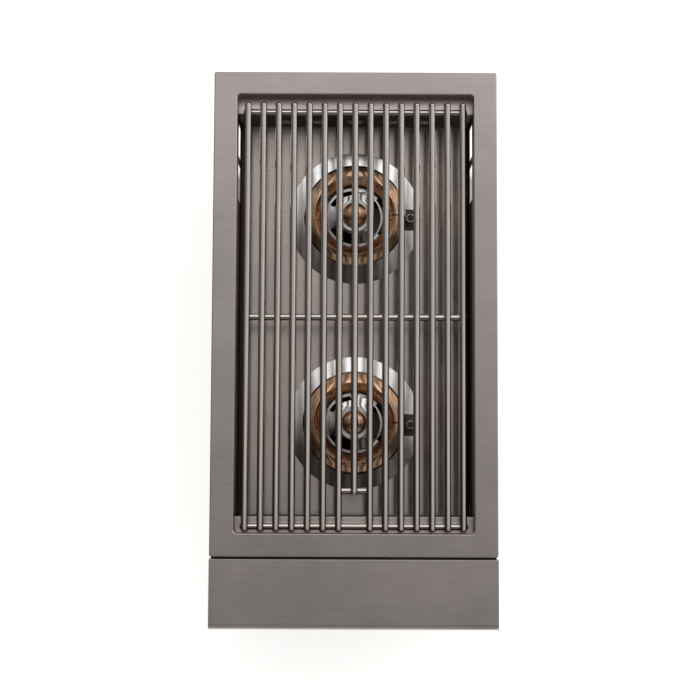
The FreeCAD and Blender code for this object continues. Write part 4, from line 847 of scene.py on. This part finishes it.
def turned_finish(burner, kind):
    """The turned finish of one burner's pieces, its circles about that burner's axis."""
    name = f"{burner}_{kind}"
    if name not in MADE:
        colours = settings("burner")
        # heat: a tint that is partly heat tint and partly painted shade on the front of the drip
        # rings and bowls
        heat = tuple(colours.heat_colour)
        colour, rough, heated_and_shaded = {
            "drip_steel": (colours.drip_colour, (0.15, 0.2), heat),
            "bowl_steel": (colours.bowl_colour, (0.1, 0.15), heat),
            "hub_steel": (colours.hub_colour, (0.15, 0.2), None),
            "turned_brass": (colours.brass_colour, (0.13, 0.2), None),
        }[kind]
        light = heated_brass(colour) if kind == "turned_brass" else shaded(colour, 1.05)
        centre = burner_place(burner) * MM
        MADE[name] = turned_metal(name, colour, centre, rough, light, heated_and_shaded)
    return MADE[name]


def placed(bm, name, body, slot, *nodes, look=None, inner=None, angle=34):
    """Finish a piece: smooth faces, its materials (its slot's finish unless a look is given), its
    body, and the nodes it stands for, which are hidden.
    """
    item = shown(bm, name)
    mesh = item.data
    mesh.polygons.foreach_set("use_smooth", [True] * len(mesh.polygons))
    mesh.set_sharp_from_angle(angle=math.radians(angle))
    mesh.materials.append(look or finish(slot))
    if inner:
        mesh.materials.append(finish(inner))
    even = item.modifiers.new("even_normals", "WEIGHTED_NORMAL")
    even.keep_sharp = True
    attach(item, body)
    if nodes:
        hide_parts(*nodes)


class PieceOperator:
    """What every piece's operator shares."""

    bl_options = {"REGISTER", "UNDO"}

    def execute(self, context):
        """Build the piece."""
        self.build(context)
        return {"FINISHED"}


# Sheet pieces


def hoop(bm, half, front, rear, height, corner):
    """A rounded rectangle of wire, in millimetres; returns its edges."""
    known = set(bm.edges)
    spots = ((-half, front), (half, front), (half, rear), (-half, rear))
    verts = [bm.verts.new((x * MM, y * MM, height * MM)) for x, y in spots]
    for pair in zip(verts, verts[1:] + verts[:1]):
        bm.edges.new(pair)
    rounded(bm, verts, corner, 6)
    return [e for e in bm.edges if e not in known]


def fold(radius, steps=5):
    """Points of a quarter turn as (inwards, up) offsets from its corner, in millimetres."""
    angles = [math.radians(90 * index / steps) for index in range(steps + 1)]
    return [(radius * (1 - math.cos(a)), radius * (1 - math.sin(a))) for a in angles]


class SIDE_BURNER_OT_rim(PieceOperator, bpy.types.Operator):
    """Folded rim frame with rounded edges."""

    bl_idname = "side_burner.rim"
    bl_label = "Rim"

    def build(self, context):
        """Rounded hoops of wire from the hem over the top to the inner return, bridged."""
        sheet = settings("sheet")
        low, high = extent("rim_frame")
        bend, corner = sheet.rim_bend / MM, sheet.corner / MM
        outer, thickness, turn_down = 2.6, 1.5, 17.5
        hem, hem_corner = 12, 0.6
        rail_side, rail_end = 27.5, 26.8
        foot = high.z - turn_down
        bm = bmesh.new()

        def outside(inwards, height, radius):
            return hoop(
                bm, high.x - inwards, low.y + inwards, high.y - inwards, height, radius
            )

        def inside(outwards, height):
            side, end = rail_side - outwards, rail_end - outwards
            return hoop(
                bm, high.x - side, low.y + end, high.y - end, height, corner + outwards
            )

        hoops = [outside(hem, foot, hem_corner)]
        for inwards, up in reversed(fold(bend)):
            hoops.append(outside(inwards, foot + up, outer - inwards))
        for inwards, down in fold(bend):
            hoops.append(outside(inwards, high.z - down, outer - inwards))
        for outwards, down in reversed(fold(bend)):
            hoops.append(inside(outwards, high.z - down))
        hoops.append(inside(0, extent("rear_ledge")[1].z))
        for pair in zip(hoops, hoops[1:]):
            bmesh.ops.bridge_loops(bm, edges=pair[0] + pair[1])
        bm = thickened(facing(bm, UP), thickness)
        placed(bm, "rim", "housing", "rim_steel", "rim_frame")


class SIDE_BURNER_OT_panel(PieceOperator, bpy.types.Operator):
    """Folded control panel with its rounded nose, and a dark strip behind it that stands in for
    shade in the seam.
    """

    bl_idname = "side_burner.panel"
    bl_label = "Control panel"

    def build(self, context):
        """One folded sheet, and a dark strip low in the seam to the rim, as painted shade."""
        sheet = settings("sheet")
        low, high = extent("control_panel")
        small = sheet.panel_bend / MM
        rear_fold = 16
        points = [
            (high.y, high.z - rear_fold),
            (high.y, high.z, small),
            (low.y, high.z, sheet.nose_bend / MM),
            (low.y, low.z, small),
            (extent("control_fascia")[0].y + SHEET, low.z),
        ]
        bm = folded(points, low.x, high.x, UP, 8)
        placed(bm, "panel_top", "housing", "panel_steel", "control_panel")
        rim_front = extent("rim_frame")[0].y
        inset, gap, foot, crown = 1.5, 0.05, 14, 9
        # painted shade: a dark strip where the seam to the rim is in shade
        shade_strip = box(
            (low.x + inset, high.y + gap, high.z - foot),
            (high.x - inset, rim_front - gap, high.z - crown),
            0.3,
        )
        placed(shade_strip, "seam_shade_strip", "housing", "bracket_dark", look=finish("module_plastic"))


class SIDE_BURNER_OT_sheets(PieceOperator, bpy.types.Operator):
    """Fascia with its stem holes and the end caps of the control box."""

    bl_idname = "side_burner.sheets"
    bl_label = "Fascia and end caps"

    def build(self, context):
        """A folded fascia less its holes, and an outlined cap at each end."""
        sheet = settings("sheet")
        low, high = extent("control_fascia")
        panel_low, panel_high = extent("control_panel")
        points = [(low.y, high.z), (low.y, low.z, sheet.panel_bend / MM), (panel_high.y, low.z)]
        bm = folded(points, low.x, high.x, (0, -1, -1))
        stem_hole, button_hole, tongue_half = 6.0, 8.92, 139
        holes = [(middle(f"{hand}_knob"), stem_hole) for hand in HANDS]
        holes.append((middle("igniter_button"), button_hole))
        tools = []
        for spot, radius in holes:
            tool = cylinder(radius, -4, 4, 48)
            tools.append(moved(tool, (spot.x, low.y, spot.z), TO_FRONT))
        tongue = box((-tongue_half, panel_high.y, low.z), (tongue_half, high.y, low.z + SHEET))
        bm = gathered([cut(bm, *tools), tongue])
        placed(bm, "fascia", "housing", "panel_steel", "control_fascia")
        nose_depth, corner = 33.2, 0.6
        rear_tab, front_tab, tab_drop = 37, 16, 14.8
        step, lip = panel_low.y + nose_depth, panel_low.z + SHEET
        for hand, sign in HANDS.items():
            low, high = extent(f"{hand}_end_cap")
            outer = high.x if sign > 0 else low.x
            outline = [
                (high.y, low.z, corner),
                (high.y, high.z, corner),
                (low.y, high.z, sheet.nose_bend / MM - SHEET),
                (low.y, lip, corner),
                (step, lip),
                (step, low.z, corner),
            ]
            parts = [plated(outline, outer, -SHEET * sign, sheet.soft_edge / MM)]
            for width, rear, top in (
                (rear_tab, high.y, high.z - tab_drop),
                (front_tab, step + SHEET, panel_low.z),
            ):
                start, end = sorted((outer - width * sign, outer - (SHEET + 0.1) * sign))
                parts.append(box((start, rear - SHEET, low.z), (end, rear, top)))
            cap = gathered(parts)
            placed(cap, f"{hand}_cap_sheet", "housing", "panel_steel", f"{hand}_end_cap")


class SIDE_BURNER_OT_ledges(PieceOperator, bpy.types.Operator):
    """Folded ledges under the grate's ends."""

    bl_idname = "side_burner.ledges"
    bl_label = "Ledges"

    def build(self, context):
        """A folded sheet at each end, the rear one with lipped slots."""
        bend, shelf = settings("sheet").panel_bend / MM, 12
        for name, sign in (("rear", 1), ("front", -1)):
            low, high = extent(f"{name}_ledge")
            wall, edge = (high.y, low.y) if sign > 0 else (low.y, high.y)
            drop = edge + shelf * sign
            points = [(wall, high.z), (drop, high.z, bend), (drop, low.z, bend), (edge, low.z)]
            bm = folded(points, low.x, high.x, (0, -sign, 1))
            if name == "rear":
                bm = slotted(bm, drop)
            placed(
                bm,
                f"{name}_shelf",
                "housing",
                "liner_steel",
                f"{name}_ledge",
                look=finish("ledge_steel"),
                # painted highlight on the slot lips and cut faces
                inner="slot_edge_highlight",
            )


def slotted(bm, front):
    """The rear ledge with five slots in its upright face, each with a lip at its foot."""
    pitch, half_length, half_height, corner = 42.0, 9.75, 2.5, 2.4
    lip_half, lip_reach, lip_depth = 8, 2.0, 0.8
    rim_to_slot = 54.5
    level = extent("rim_frame")[1].z - rim_to_slot
    foot = level - half_height
    slots, lips = [], []
    for place in (-2, -1, 0, 1, 2):
        across = pitch * place
        slot = box((-half_length, -half_height, -4), (half_length, half_height, 4), corner, 5)
        slots.append(moved(slot, (across, front, level), TO_FRONT))
        start = (across - lip_half, front - lip_reach, foot - lip_depth)
        lips.append(on_slot(box(start, (across + lip_half, front + 0.2, foot)), 1))
    return gathered([cut(bm, *slots, inside=1), *lips])


class SIDE_BURNER_OT_screws(PieceOperator, bpy.types.Operator):
    """Pan-head screws of the fascia."""

    bl_idname = "side_burner.screws"
    bl_label = "Screws"

    def build(self, context):
        """Turned heads with a cross recess."""
        low, high = extent("fascia_screws")
        radius, height, shank = 4.0, 2.0, 5.0
        heads = []
        for x in (low.x + radius, high.x - radius):
            for z in (low.z + radius, high.z - radius):
                head = screw(radius, height, shank)
                heads.append(moved(head, (x, low.y + height, z), TO_FRONT))
        placed(gathered(heads), "fascia_fixings", "housing", "screw_steel", "fascia_screws")


def screw(radius, height, shank):
    """A domed screw with a cross recess, its seat at zero."""
    points = [
        (0, -shank),
        (radius / 2, -shank),
        (radius / 2, 0),
        (radius, 0),
        (radius, height * 0.35, height * 0.3),
        (radius * 0.62, height, height * 0.4),
        (0, height),
    ]
    arm, half, floor = radius * 0.55, radius * 0.13, height * 0.45
    across = box((-arm, -half, floor), (arm, half, height + 1))
    along = box((-half, -arm, floor), (half, arm, height + 1))
    return cut(cut(lathe(points, 32, 3), across), along)


# Grate


def rod(length, radius, end, sides):
    """A rod with rounded ends, from the origin up."""
    return lathe([(0, 0), (radius, 0, end), (radius, length, end), (0, length)], sides, 4)


def crossings():
    """Where the three cross rods lie along Y, in millimetres, shifted as in the settings."""
    low, high = extent("grate_cross_rods")
    radius = (high.z - low.z) / 2
    forward = settings("grate").cross_shift / MM
    spots = (low.y + radius, (low.y + high.y) / 2, high.y - radius)
    return [spot - forward for spot in spots]


class SIDE_BURNER_OT_grate(PieceOperator, bpy.types.Operator):
    """Round rods welded over three cross rods, with a lifting bar at the finger notch."""

    bl_idname = "side_burner.grate"
    bl_label = "Grate"

    def build(self, context):
        """Rods and weld beads."""
        grate = settings("grate")
        low, high = extent("grate_rods")
        cross_low, cross_high = extent("grate_cross_rods")
        bar_low, bar_high = extent("grate_lift_bar")
        radius = (high.z - low.z) / 2
        level = (high.z + low.z) / 2
        pitch = (high.x - low.x - 2 * radius) / (RODS - 1)
        spots = [pitch * (index - NOTCHED_ROD) for index in range(RODS)]
        notch = 43.0
        long_rods = []
        for index, x in enumerate(spots):
            start = low.y + (notch if index == NOTCHED_ROD else 0)
            part = rod(high.y - start, radius, ROD_END, grate.sides)
            long_rods.append(moved(part, (x, start, level), TO_REAR))
        look = finish("long_rod_steel")
        placed(gathered(long_rods), "long_rods", "grate", "grate_steel", "grate_rods", look=look)
        cross_level = (cross_low.z + cross_high.z) / 2

        def lying(start, end, y):
            part = rod(end - start, radius, ROD_END, grate.sides)
            return moved(part, (start, y, cross_level), TO_RIGHT)

        rows = crossings()
        cross_rods = gathered([lying(cross_low.x, cross_high.x, y) for y in rows])
        placed(cross_rods, "cross_rods", "grate", "grate_steel", "grate_cross_rods")
        bar_y = middle("grate_lift_bar").y
        bar = lying(bar_low.x, bar_high.x, bar_y)
        placed(bar, "lifting_bar", "grate", "grate_steel", "grate_lift_bar")
        welds = [(x, y) for x in spots for y in rows]
        welds.remove((spots[NOTCHED_ROD], rows[0]))
        welds += [(x, bar_y) for x in spots[NOTCHED_ROD - 1 : NOTCHED_ROD + 2]]
        beads = [bead((x, y, cross_level + radius), grate.weld) for x, y in welds]
        placed(gathered(beads), "weld_beads", "grate", "grate_steel")


def bead(place, width):
    """A squashed bead of weld between two rods."""
    bm = bmesh.new()
    bmesh.ops.create_uvsphere(bm, u_segments=12, v_segments=8, radius=width / 2)
    bmesh.ops.scale(bm, vec=(1.15, 1.15, 0.62), verts=bm.verts)
    return moved(bm, place)


# Burners


def deck_level():
    """Height of the deck's top, in millimetres."""
    return extent("burner_deck")[1].z


def burner_place(burner, rise=0.0):
    """A point on a burner's axis, above the deck by a rise, in millimetres."""
    centre = middle(f"{burner}_burner_hub")
    return Vector((centre.x, centre.y, deck_level() + rise))


def settled(bm, burner, name, slot, node, kind, body="housing", rise=0.0, **values):
    """Put a turned piece on its burner's axis, with that burner's own finish."""
    moved(bm, burner_place(burner, rise))
    look = turned_finish(burner, kind)
    placed(bm, f"{burner}_{name}", body, slot, f"{burner}_{node}", look=look, **values)


class SIDE_BURNER_OT_drip_rings(PieceOperator, bpy.types.Operator):
    """Bright stamped rings on the deck, notched for the electrode brackets."""

    bl_idname = "side_burner.drip_rings"
    bl_label = "Drip rings"

    def build(self, context):
        """A turned cone of sheet, less the notch."""
        outline = [(57, 3.6), (79.4, 0), (80, 0), (80, 0.6, 0.2), (57, 4.4, 0.35)]
        for burner in BURNERS:
            bm = lathe(outline, settings("burner").sides, 4)
            notch = box((49.8, -15, -4), (75, 11, 11), 6, 5)
            settled(cut(bm, notch), burner, "drip_tray", "drip_steel", "drip_ring", "drip_steel")


class SIDE_BURNER_OT_rings(PieceOperator, bpy.types.Operator):
    """Brass rings with their ports and lighting groove."""

    bl_idname = "side_burner.rings"
    bl_label = "Brass rings"

    def build(self, context):
        """A turned ring, less ports, slots and groove."""
        setup = settings("burner")
        depth, port, port_out, slot_half, groove_half = 4, 1, 44.2, 1.1, 0.8
        spigot = [(38.2, 0, 0.3), (41.5, 0), (41.5, -depth), (43, -depth), (43, 7), (46.5, 9)]
        flank = [(53, 6), (53, 0), (56, 0), (61.2, 5, 0.8), (61.2, 9.2, 0.8), (59.6, 11, 1.2)]
        crest = [(51, 14.7, 3), (47.8, 15.2, 1.2), (38.2, 7, 0.8)]
        for burner in BURNERS:
            seat = extent(f"{burner}_burner_ring")[0].z + depth - deck_level()
            bm = lathe(spigot + flank + crest, setup.sides, 5)
            ports = []
            for index in range(setup.inner_ports):
                angle = math.tau * (index + 0.5) / setup.inner_ports
                ports.append(cylinder(port, 8, 18, 12, port_out, angle))
            slots = []
            for index in range(setup.outer_ports):
                turn = Matrix.Rotation(math.tau * index / setup.outer_ports, 3, "Z")
                slot = box((51, -slot_half, -3), (64, slot_half, 2.6))
                slots.append(moved(slot, (0, 0, 0), turn))
            groove = box((42, -groove_half, 12), (58.2, groove_half, 18))
            for tools in (ports, slots, [groove]):
                bm = cut(bm, *tools, inside=1)
            settled(
                bm,
                burner,
                "brass_ring",
                "burner_brass",
                "burner_ring",
                "turned_brass",
                f"{burner}_ring",
                seat,
                # painted shade on the cut faces of the ports, slots and groove
                inner="port_shade",
                angle=28,
            )


class SIDE_BURNER_OT_bowls(PieceOperator, bpy.types.Operator):
    """Polished bowls with three windows and a rolled rim."""

    bl_idname = "side_burner.bowls"
    bl_label = "Bowls"

    def build(self, context):
        """A turned sheet less its windows and the gap in its rim."""
        under = [(5, 10.7), (20.6, 10.7, 3), (32.6, 7.4, 1), (36.9, 7.4, 0.3), (36.9, 9, 0.35)]
        over = [(36, 9, 0.35), (35.7, 8.2, 0.2), (32.6, 8.2, 1), (20, 11.5, 3), (5, 11.5)]
        windows = ((20.6, 31.3, 2, 76), (27.5, 33, 125.5, 56), (20.6, 33, -125.5, 56))
        top = 24
        for burner in BURNERS:
            bm = lathe(under + over, settings("burner").sides, 4)
            for inner, outer, centre, width in windows:
                bm = cut(bm, wedge(inner, outer, -2, top, centre, width))
            rim_gap = wedge(33.6, 40, 0, top, 2, 76)
            bm = cut(bm, rim_gap)
            settled(bm, burner, "bowl", "bowl_steel", "flame_bowl", "bowl_steel", angle=28)


class SIDE_BURNER_OT_hubs(PieceOperator, bpy.types.Operator):
    """Turned steel hubs under the centre caps."""

    bl_idname = "side_burner.hubs"
    bl_label = "Hubs"

    def build(self, context):
        """A turned cup."""
        outline = [(0, 11.5), (19.8, 11.5, 1), (19.8, CAP_SEAT, 0.7), (10, CAP_SEAT)]
        outline += [(10, 13.5), (0, 13.5)]
        for burner in BURNERS:
            bm = lathe(outline, settings("burner").sides, 4)
            settled(bm, burner, "hub", "hub_steel", "burner_hub", "hub_steel")


class SIDE_BURNER_OT_caps(PieceOperator, bpy.types.Operator):
    """Brass domes on the hubs."""

    bl_idname = "side_burner.caps"
    bl_label = "Centre caps"

    def build(self, context):
        """A turned dome with its neck and stem."""
        outline = [(0, -8), (9.9, -8, 0.8), (9.9, 0), (12, 0), (12, 4), (CAP_RADIUS, 4, 0.5)]
        steps = 24
        for index in range(steps):
            angle = math.pi / 2 * index / steps
            outline.append((CAP_RADIUS * math.cos(angle), 5.2 + 7.8 * math.sin(angle)))
        outline.append((0, 13))
        for burner in BURNERS:
            bm = lathe(outline, settings("burner").sides, 4)
            settled(
                bm,
                burner,
                "dome",
                "burner_brass",
                "centre_cap",
                "turned_brass",
                f"{burner}_cap",
                CAP_SEAT,
                angle=28,
            )


class SIDE_BURNER_OT_electrodes(PieceOperator, bpy.types.Operator):
    """Spark electrodes in steel sleeves, on dark brackets."""

    bl_idname = "side_burner.electrodes"
    bl_label = "Electrodes"

    def build(self, context):
        """Sleeve, ceramic core and bracket."""
        core_outline = [(0, -12), (3.78, -12), (3.78, 13.4, 0.8), (1.25, 13.4)]
        core_outline += [(1.25, 20.6, 0.6), (0, 21.8)]
        for burner in BURNERS:
            node = f"{burner}_electrode"
            spot = middle(node)
            base = (spot.x, spot.y, deck_level())
            sleeve = lathe([(3.8, -6), (5, -6), (5, 17, 0.5), (3.8, 17, 0.4)], 48, 3)
            placed(moved(sleeve, base), f"{burner}_sleeve", "housing", "hub_steel")
            core = moved(lathe(core_outline, 32, 3), base)
            placed(core, f"{burner}_spark_rod", "housing", "electrode_ceramic", node)
            low, high = extent(f"{node}_bracket")
            plate = softened(box(low, high, 4, 6), 60, 0.35)
            hole = cylinder(5, low.z - 2, high.z + 2, 48)
            plate = cut(plate, moved(hole, (spot.x, spot.y, 0)))
            placed(plate, f"{burner}_bracket", "housing", "bracket_dark", f"{node}_bracket")


# Controls


def on_fascia(outline, sides, node):
    """A turned piece that points forward from the back of a CAD node, at its middle."""
    centre = middle(node)
    place = (centre.x, extent(node)[1].y, centre.z)
    return moved(lathe(outline, sides, 4), place, TO_FRONT)


class SIDE_BURNER_OT_knobs(PieceOperator, bpy.types.Operator):
    """Fluted knobs on stems, in front of dished bezels."""

    bl_idname = "side_burner.knobs"
    bl_label = "Knobs"

    def build(self, context):
        """Turned bodies, fluted, with a pointer groove."""
        flutes = settings("controls").flutes
        length, hidden, stem_radius, flute, flute_out = 21.0, 8, 3, 3, 20.7
        face = length - 0.8
        body = [(0, 0), (22, 0, 0.8), (22, 4.2, 1.6), (20, 7, 2), (19, length, 2), (0, face)]
        dish = [(8, 0), (28, 0, 0.4), (28, 1.4, 0.6), (26, 4, 1.2), (23.4, 4, 0.8)]
        dish += [(22, 2, 0.8), (8, 2, 0.3)]
        for hand in HANDS:
            low, high = extent(f"{hand}_knob")
            centre = (low + high) / 2
            angles = [math.tau * (index + 0.5) / flutes for index in range(flutes)]
            tools = [cylinder(flute, 7.4, 24, 24, flute_out, angle) for angle in angles]
            head = softened(cut(lathe(body, 96, 4), *tools), 50, 0.4)
            pointer = box((-0.8, 8, length - 2.1), (0.8, 20.5, 24), 0.5)
            head = cut(head, pointer, inside=1)
            reach = high.y - low.y - length + hidden
            stem = moved(rod(reach, stem_radius, 0.5, 32), (0, 0, hidden - reach))
            place = (centre.x, low.y + length, centre.z)
            grip = moved(gathered([head, stem]), place, TO_FRONT)
            placed(
                grip,
                f"{hand}_grip",
                f"{hand}_dial",
                "knob_plastic",
                f"{hand}_knob",
                inner="pointer_paint",
            )
            node = f"{hand}_knob_bezel"
            bezel = on_fascia(dish, 128, node)
            placed(bezel, f"{hand}_bezel", "housing", "bezel_chrome", node)


class SIDE_BURNER_OT_igniter(PieceOperator, bpy.types.Operator):
    """Push button in its bezel."""

    bl_idname = "side_burner.igniter"
    bl_label = "Igniter"

    def build(self, context):
        """Two turned pieces."""
        outline = [(8.88, 0), (12.5, 0, 0.3), (12.5, 1.6, 0.6), (11.4, 3, 0.8), (8.88, 3, 0.4)]
        bezel = on_fascia(outline, 96, "igniter_bezel")
        placed(bezel, "button_bezel", "housing", "bezel_chrome", "igniter_bezel")
        low, high = extent("igniter_button")
        length = high.y - low.y
        face = length - 0.7
        outline = [(0, 0), (8.8, 0, 0.4), (8.8, length, 1), (6.2, length, 0.8), (5.4, face, 0.6)]
        outline.append((0, face))
        button = on_fascia(outline, 64, "igniter_button")
        placed(button, "push_button", "button", "button_plastic", "igniter_button")


class SIDE_BURNER_OT_gas_fitting(PieceOperator, bpy.types.Operator):
    """Threaded gas fitting at the rear."""

    bl_idname = "side_burner.gas_fitting"
    bl_label = "Gas fitting"

    def build(self, context):
        """A hexagon and a nipple with a row of thread crests."""
        low, high = extent("gas_inlet_fitting")
        centre = (low + high) / 2
        nut_radius, nut_height, facets = 12.7, 6, 6
        nut = softened(cylinder(nut_radius, 0, nut_height, facets), 40, 0.5)
        length = high.y - low.y
        pitch, crest, root, bore, seat = 1.27, 7.9, 7.1, 4.6, 6.35
        start = 7.0
        points = [(seat, 0.2), (7.4, 0.2), (7.4, start)]
        while start + pitch < length - 0.6:
            points += [(crest, start + 0.45), (crest, start + 0.65), (root, start + pitch)]
            start += pitch
        points += [(7.2, length), (bore, length), (bore, 8.0), (seat, 8.0)]
        bm = gathered([nut, lathe(points, 64)])
        moved(bm, (centre.x, low.y, centre.z), TO_REAR)
        placed(bm, "gas_nipple", "housing", "valve_brass", "gas_inlet_fitting")


class SIDE_BURNER_OT_carried(PieceOperator, bpy.types.Operator):
    """Finishes on the CAD nodes that stay in view."""

    bl_idname = "side_burner.carried"
    bl_label = "Carried solids"

    def build(self, context):
        """Give each shown node the finish of its slot."""
        slots = {row["node"]: row["material_slot"] for row in frame["record"]["subparts"]}
        for node, item in frame["nodes"].items():
            if not item.hide_render:
                item.data.materials.clear()
                item.data.materials.append(finish(slots[node]))


# Stage

# (direction, level) of the room's light: from front to rear, and from left to right
DEPTH_LEVELS = (
    (-1.0, 0.3), (-0.75, 0.45), (-0.52, 0.38), (-0.42, 0.13), (-0.14, 0.09), (-0.05, 0.4),
    (0.0, 0.48), (0.12, 0.62), (0.22, 0.69), (0.28, 0.75), (0.34, 1.25), (0.4, 1.5),
    (0.52, 1.5), (0.6, 0.9), (0.8, 0.6), (1.0, 0.4),
)
SIDE_LEVELS = (
    (-1.0, 0.1), (-0.75, 0.2), (-0.5, 0.45), (-0.3, 0.95), (0.0, 1.0), (0.3, 1.06),
    (0.5, 1.25), (0.66, 1.15), (0.87, 1.65), (1.0, 1.3),
)
WHITE = (1, 1, 1, 1)
# Where the camera stands, in metres, and its turns in degrees, the outermost first
CAMERA_PLACE = (-0.0072, -0.1351, 1.8511)
CAMERA_TURNS = ((-0.847, "Z"), (4.595, "X"), (1.088, "Z"))


def studio_world(sky_level):
    """A room with a bright wall and ceiling behind the burner and a dim one in front."""
    world = bpy.data.worlds.new("studio")
    bpy.context.scene.world = world
    shader = Shader(world, "OutputWorld", "Generated")
    x, y = shader.axes()[:2]
    level = shader.times(shader.levels(y, DEPTH_LEVELS), shader.levels(x, SIDE_LEVELS))
    # Both levels are halved, so four times their product is the light
    level = shader.times(level, 4 * sky_level)
    lit = shader.add("Background", {"Color": WHITE, "Strength": level}).outputs[0]
    white = shader.add("Background", {"Color": WHITE}).outputs[0]
    seen = shader.add("LightPath").outputs["Is Camera Ray"]
    choice = shader.add("MixShader", {0: seen, 1: lit, 2: white})
    shader.join(shader.surface, choice.outputs[0])


def floor_finish(colour):
    """Pale floor that reads as white to the camera and keeps the shadow; its glow is left out in a
    box round the burner's footprint, a painted shadow.
    """
    shader = material("studio_floor")
    low, high = CAD_BOX
    x, y = shader.axes()[:2]
    across = shader.calc("ABSOLUTE", x)
    # painted shadow: no glow under and just beside the burner
    fade, rear = 0.012, 0.25
    under = shader.spread(across, 1.0, 0.0, high[0] - fade, high[0] + 0.004)
    rearward = shader.spread(y, 1.0, 0.0, rear - fade, rear)
    forward = shader.spread(y, 0.0, 1.0, low[1], low[1] + 0.02)
    under = shader.times(under, shader.times(rearward, forward))
    tone = shader.blend(shader.noise(0.6, 2.0), shaded(colour, 0.98), tuple(colour[:3]))
    matt = shader.add("BsdfDiffuse", {"Color": tone}).outputs[0]
    level = shader.spread(under, 0.8, 0.0)
    glow = shader.add("Emission", {"Color": opaque(colour), "Strength": level}).outputs[0]
    rays = shader.add("LightPath").outputs
    seen = shader.calc("MAXIMUM", rays["Is Camera Ray"], rays["Is Glossy Ray"])
    seen = shader.calc("MAXIMUM", seen, rays["Is Transmission Ray"])
    both = shader.add("AddShader", {0: matt, 1: glow}).outputs[0]
    choice = shader.add("MixShader", {0: seen, 1: matt, 2: both})
    shader.join(shader.surface, choice.outputs[0])
    return shader.holder


class SIDE_BURNER_OT_stage(PieceOperator, bpy.types.Operator):
    """Pale floor, soft room light and the camera."""

    bl_idname = "side_burner.stage"
    bl_label = "Stage"

    def build(self, context):
        """Floor, world and camera."""
        stage = settings("stage")
        bm = bmesh.new()
        bmesh.ops.create_grid(bm, x_segments=8, y_segments=8, size=stage.floor_width / 2)
        floor = shown(bm, "floor")
        floor.data.materials.append(floor_finish(stage.floor_colour))
        studio_world(stage.sky_level)
        camera = bpy.data.cameras.new("camera")
        camera.lens = stage.lens
        camera.sensor_width = 36
        camera.clip_start, camera.clip_end = 0.05, 50
        view = bpy.data.objects.new("camera", camera)
        matrix = Matrix.Translation(CAMERA_PLACE)
        for degrees, axis in CAMERA_TURNS:
            matrix = matrix @ Matrix.Rotation(math.radians(degrees), 4, axis)
        view.matrix_world = matrix
        context.scene.collection.objects.link(view)
        context.scene.camera = view
        context.scene.view_settings.view_transform = "Standard"


PIECES = (
    SIDE_BURNER_OT_rim,
    SIDE_BURNER_OT_panel,
    SIDE_BURNER_OT_sheets,
    SIDE_BURNER_OT_ledges,
    SIDE_BURNER_OT_screws,
    SIDE_BURNER_OT_grate,
    SIDE_BURNER_OT_drip_rings,
    SIDE_BURNER_OT_rings,
    SIDE_BURNER_OT_bowls,
    SIDE_BURNER_OT_hubs,
    SIDE_BURNER_OT_caps,
    SIDE_BURNER_OT_electrodes,
    SIDE_BURNER_OT_knobs,
    SIDE_BURNER_OT_igniter,
    SIDE_BURNER_OT_gas_fitting,
    SIDE_BURNER_OT_carried,
    SIDE_BURNER_OT_stage,
)

SETTINGS = {
    "side_burner_sheet": SheetSettings,
    "side_burner_grate": GrateSettings,
    "side_burner_burner": BurnerSettings,
    "side_burner_controls": ControlSettings,
    "side_burner_stage": StageSettings,
}


class SIDE_BURNER_PT_pieces(bpy.types.Panel):
    """Lists the pieces and their settings."""

    bl_idname = "SIDE_BURNER_PT_pieces"
    bl_label = "Side burner"
    bl_space_type = "VIEW_3D"
    bl_region_type = "UI"
    bl_category = "Side burner"

    def draw(self, context):
        """One button for each operator, then the settings."""
        for operator in PIECES:
            self.layout.operator(operator.bl_idname)
        for name, group in SETTINGS.items():
            column = self.layout.box().column()
            for key in group.__annotations__:
                column.prop(getattr(context.scene, name), key)


def register():
    """Register the settings, operators and panel."""
    for item in (*SETTINGS.values(), *PIECES, SIDE_BURNER_PT_pieces):
        bpy.utils.register_class(item)
    for name, group in SETTINGS.items():
        setattr(bpy.types.Scene, name, bpy.props.PointerProperty(type=group))


def unregister():
    """Undo register."""
    for name in SETTINGS:
        delattr(bpy.types.Scene, name)
    for item in (SIDE_BURNER_PT_pieces, *reversed(PIECES), *SETTINGS.values()):
        bpy.utils.unregister_class(item)


def main():
    register()
    for operator in PIECES:
        group, name = operator.bl_idname.split(".")
        getattr(getattr(bpy.ops, group), name)()


if __name__ == "__main__":
    main()
